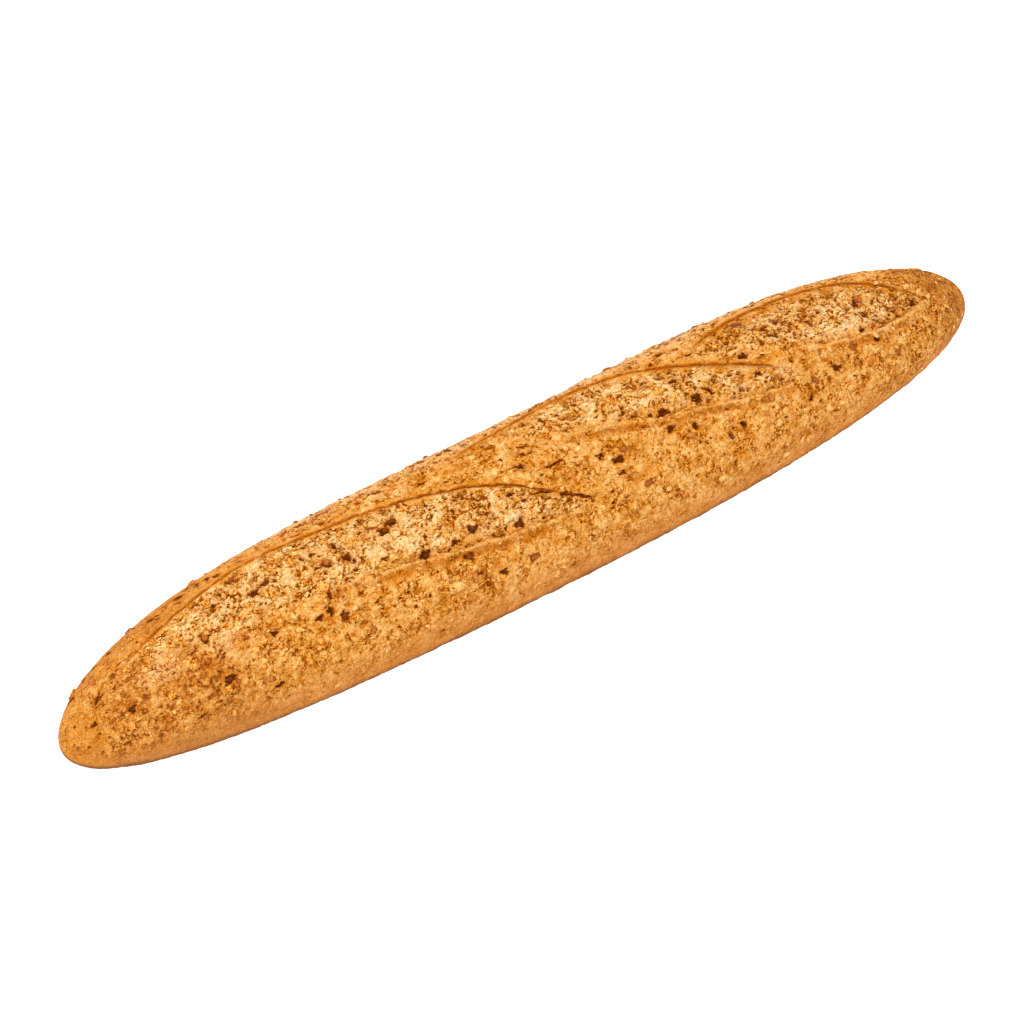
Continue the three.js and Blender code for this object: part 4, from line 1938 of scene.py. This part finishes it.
@dataclass
class Scatter:
    """One kind of small thing strewn over the loaf and made as one piece."""

    name: str
    slot: str
    shape: Shape
    ground: Ground
    ragged: float
    curl: float
    sink: float
    follow: float
    seed: int
    reach: float = 194.0

    def strewn(
        self, count: int, angles: tuple[float, float], sizes: Sequence[tuple[float, float]], bare: float
    ) -> Bits:
        """Strews things evenly over a band of the loaf.

        Args:
            count: how many things to try.
            angles: the band's first and last angle.
            sizes: the least and largest half length, and of the width and thickness as shares of it.
            bare: how strongly bare ground keeps them off.

        Returns:
            The things that found a place.
        """
        draw = np.random.default_rng(self.seed)
        x = draw.uniform(-self.reach, self.reach, count)
        angle = draw.uniform(*angles, count)
        kept = draw.uniform(0, 1, count) < self.ground.form.girth(x)
        kept &= draw.uniform(0, 1, count) > bare * self.ground.look_up(x, angle)[1]
        x, angle = x[kept], angle[kept]
        n = len(x)
        long = sizes[0][0] + (sizes[0][1] - sizes[0][0]) * draw.uniform(0, 1, n) ** 2.2
        shares = [draw.uniform(*size, n) for size in sizes[1:]]
        half = np.stack([long, long * shares[0], long * shares[1]], -1)
        turn = draw.uniform(0, 2 * math.pi, n)
        tone = draw.uniform(0, 1, n) + self.follow * self.ground.look_up(x, angle)[2]
        tone -= 0.25 * self.ground.form.left_end(x)
        return Bits(x, angle, half, turn, tone, draw.uniform(0, 1, n), half[:, 2] * self.sink)

    def placed(self, found: FoundSpots, thick: float, tone: tuple[float, float], sink: float) -> Bits:
        """Things at spots of the photograph.

        Args:
            found: the spots.
            thick: the thickness as a share of the width.
            tone: the least and largest tone.
            sink: how far they are sunk, as a share of their thickness.

        Returns:
            One thing a spot.
        """
        marks = found.marks(self.ground.form, 0.0)
        half = np.stack([marks.half_long, marks.half_short, marks.half_short * thick], -1)
        shade = tone[0] + (tone[1] - tone[0]) * marks.tone
        return Bits(found.x, found.angle, half, marks.turn, shade, marks.tone * 0.4, half[:, 2] * sink)

    def make(self, bits: Bits, tilt: float, finish: bpy.types.Material) -> bpy.types.Object:
        """Makes the things as one piece.

        Args:
            bits: the things.
            tilt: the steepest tilt of a thing, in radians.
            finish: their material.

        Returns:
            The piece.
        """
        draw = np.random.default_rng(self.seed + 1)
        shape, n = self.shape, len(bits.x)
        knob = 1.0 + self.ragged * draw.uniform(-1, 1, (n, shape.knobs.max() + 1))
        local = shape.points[None] * bits.half[:, None, :]
        local[..., :2] *= knob[:, shape.knobs, None]
        bow = self.curl * draw.uniform(-0.4, 1.0, n) / bits.half[:, 0]
        local[..., 2] += bow[:, None] * local[..., 0] ** 2
        frames = self.ground.frames(bits.x, bits.angle, bits.turn, tilt * bits.tilt)
        place = self.ground.look_up(bits.x, bits.angle)[0] - frames[:, 2] * bits.sink[:, None]
        points = place[:, None] + np.einsum("nva,nac->nvc", local, frames)
        points[..., 2] = np.maximum(points[..., 2], 0.0)
        triangles = shape.triangles[None] + (np.arange(n) * len(shape.points))[:, None, None]
        # The rim mask is 1 low on each thing and 0 at its top; the finishes darken it as painted contact
        # shade.
        rim = np.tile(1.0 - shape.points[:, 2], n)
        masks = {"tone": np.repeat(bits.tone, len(shape.points)), "rim": rim}
        piece = make_piece(self.name, points.reshape(-1, 3), [triangles.reshape(-1, 3)], masks)
        piece.data.materials.append(finish)
        return piece


@dataclass(frozen=True)
class LargeToppings:
    """The largest flakes and grains, strewn by the same rule as on the solid loaf."""

    form: LoafForm
    count: int = 96
    gap: float = 12.0
    reach: float = 186.0
    far: float = -92.0
    near: float = 66.0
    ear_clearance: float = 4.5
    flake_share: float = 0.6
    least: float = 0.85
    spread: float = 0.3
    seed: int = 20417
    flake_half: tuple[float, float, float] = (2.6, 2.0, 0.75)
    grain_half: tuple[float, float, float] = (2.2, 1.4, 1.2)

    def numbers(self) -> Iterable[float]:
        """A repeatable stream of numbers from 0 to 1.

        Returns:
            The numbers, one after another without end.
        """
        state = self.seed
        while True:
            state = (1664525 * state + 1013904223) % 2**32
            yield state / 2**32

    def places(self) -> list[tuple[float, float, bool, float, float]]:
        """The x, angle, kind, turn and size of each.

        Returns:
            One row a topping.
        """
        stream = iter(self.numbers())
        found: list[tuple[float, float, bool, float, float]] = []
        while len(found) < self.count:
            x = (2.0 * next(stream) - 1.0) * self.reach
            angle = self.far + (self.near - self.far) * next(stream)
            kind, turn = next(stream), next(stream) * math.pi
            size = self.least + self.spread * next(stream)
            radius = float(self.form.radius(x))
            gaps = (math.hypot(p[0] - x, math.radians(p[1] - angle) * radius) for p in found)
            crowded = any(gap < self.gap for gap in gaps)
            if not crowded and not self.on_ear(x, angle, radius):
                found.append((x, angle, kind < self.flake_share, turn, size))
        return found

    def on_ear(self, x: float, angle: float, radius: float) -> bool:
        """Whether a place is too near an ear.

        Args:
            x: how far along the loaf.
            angle: degrees round it from its top.
            radius: millimetres of crust to a radian there.

        Returns:
            True within the ear's clearance.
        """
        for slash in SLASHES:
            beside = slash.left - self.ear_clearance < x < slash.right + self.ear_clearance
            if beside and abs(math.radians(float(slash.ear.at(x)) - angle)) * radius < self.ear_clearance:
                return True
        return False

    def bits(self, flakes: bool) -> Bits:
        """The flakes or the grains among them.

        Args:
            flakes: true for the flakes, false for the grains.

        Returns:
            Those toppings.
        """
        rows = [place for place in self.places() if place[2] == flakes]
        x, angle, _, turn, size = (np.array(column, float) for column in zip(*rows))
        half = size[:, None] * np.array(self.flake_half if flakes else self.grain_half)
        tone = scattered_tone(x)
        level = np.zeros(len(x))
        tone = 0.4 * tone - 0.15 if flakes else 0.35 + 0.45 * tone
        return Bits(x, angle, half, turn, tone, level, half[:, 2] * 0.4)


def make_toppings(
    form: LoafForm, ground: Ground, landmarks: Landmarks
) -> list[tuple[bpy.types.Object, str]]:
    """Makes the flakes, grains, seeds and grit.

    Args:
        form: the loaf.
        ground: what they lie on.
        landmarks: those that the photograph shows at places of their own.

    Returns:
        Each piece with the slot of its finish.
    """
    large = LargeToppings(form)
    flake_finish = FlakeFinish("toasted_flakes", 0.44, 0.3, 0.7).make()
    sliver_finish = FlakeFinish("bran_shavings", 0.3, 0.66, 0.5).make()
    grain_finish = GrainFinish().make()
    flakes = Scatter("bran_flakes", "flakes", chip(9), ground, 0.36, 0.12, 0.5, 0.2, 51)
    bits = flakes.strewn(2200, (-112.0, 98.0), ((0.6, 2.3), (0.3, 0.8), (0.06, 0.14)), 0.97)
    bits = bits.joined(flakes.placed(landmarks.cream_flakes, 0.25, (0.9, 1.0), -0.5))
    bits = bits.joined(large.bits(True))
    made = [(flakes.make(bits, 0.2, flake_finish), flakes.slot)]
    grit = Scatter("crust_grit", "flakes", ball(4, 1), ground, 0.3, 0.0, 0.3, 0.2, 52)
    bits = grit.strewn(2600, (-112.0, 104.0), ((0.25, 0.6), (0.4, 1.0), (0.4, 0.7)), 0.93)
    made.append((grit.make(bits, 0.4, flake_finish), grit.slot))
    shavings = Scatter("bran_shavings", "flakes", sliver(4), ground, 0.2, 0.0, -0.1, 0.0, 55)
    bits = shavings.strewn(5000, (-112.0, 96.0), ((0.7, 2.4), (0.2, 0.4), (0.06, 0.12)), 0.95)
    made.append((shavings.make(bits, 0.15, sliver_finish), shavings.slot))
    grains = Scatter("roasted_grains", "grains", ball(7, 4), ground, 0.34, 0.0, 0.3, 0.2, 53)
    bits = grains.strewn(330, (-110.0, -38.0), ((0.6, 2.0), (0.45, 0.8), (0.4, 0.7)), 0.95)
    bits = bits.joined(large.bits(False))
    for found, tone, sink in (
        (landmarks.roasted, (0.0, 0.3), 0.4),
        (landmarks.reddish, (0.35, 0.65), 0.72),
        (landmarks.grey, (0.6, 0.9), 0.75),
    ):
        bits = bits.joined(grains.placed(found, 0.7, tone, sink))
    made.append((grains.make(bits, 0.3, grain_finish), grains.slot))
    seeds = Scatter("round_seeds", "seeds", ball(10, 6), ground, 0.05, 0.0, 0.2, 0.0, 54)
    bits = seeds.strewn(20, (-108.0, 60.0), ((0.7, 1.2), (0.8, 1.0), (0.7, 0.9)), 0.9)
    bits = bits.joined(seeds.placed(landmarks.seeds, 0.85, (0.5, 0.7), -0.2))
    made.append((seeds.make(bits, 0.2, grain_finish), seeds.slot))
    return made


def main() -> None:
    """Builds the baguette and reports the faces of each piece."""
    logging.basicConfig(level=logging.INFO, format="%(message)s")
    low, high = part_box(NODE)
    form = LoafForm(length=(high[0] - low[0]) / MM)
    camera = PhotoCamera()
    camera.make()
    Studio().make()
    landmarks = Landmarks.find(form, camera)
    crust = Crust(form, landmarks)
    sheet = crust.lay()
    pieces = [(piece, "crust") for piece in crust.make(sheet)]
    crumb_finish = CrumbFinish().make()
    crumbs = []
    for seed, slash in enumerate(SLASHES, start=31):
        crumb = TornCrumb(form, landmarks, slash, seed)
        crumbs.append((slash, crumb.lay()))
        pieces.append((crumb.make(crumbs[-1][1], crumb_finish), "crust"))
    pieces += make_toppings(form, Ground(form, sheet, crumbs), landmarks)
    for piece, slot in pieces:
        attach(piece, BODY)
        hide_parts(NODE)
        log.info("%s: %d faces", piece.name, len(piece.data.polygons))
    bpy.context.view_layer.update()


if __name__ == "__main__":
    main()
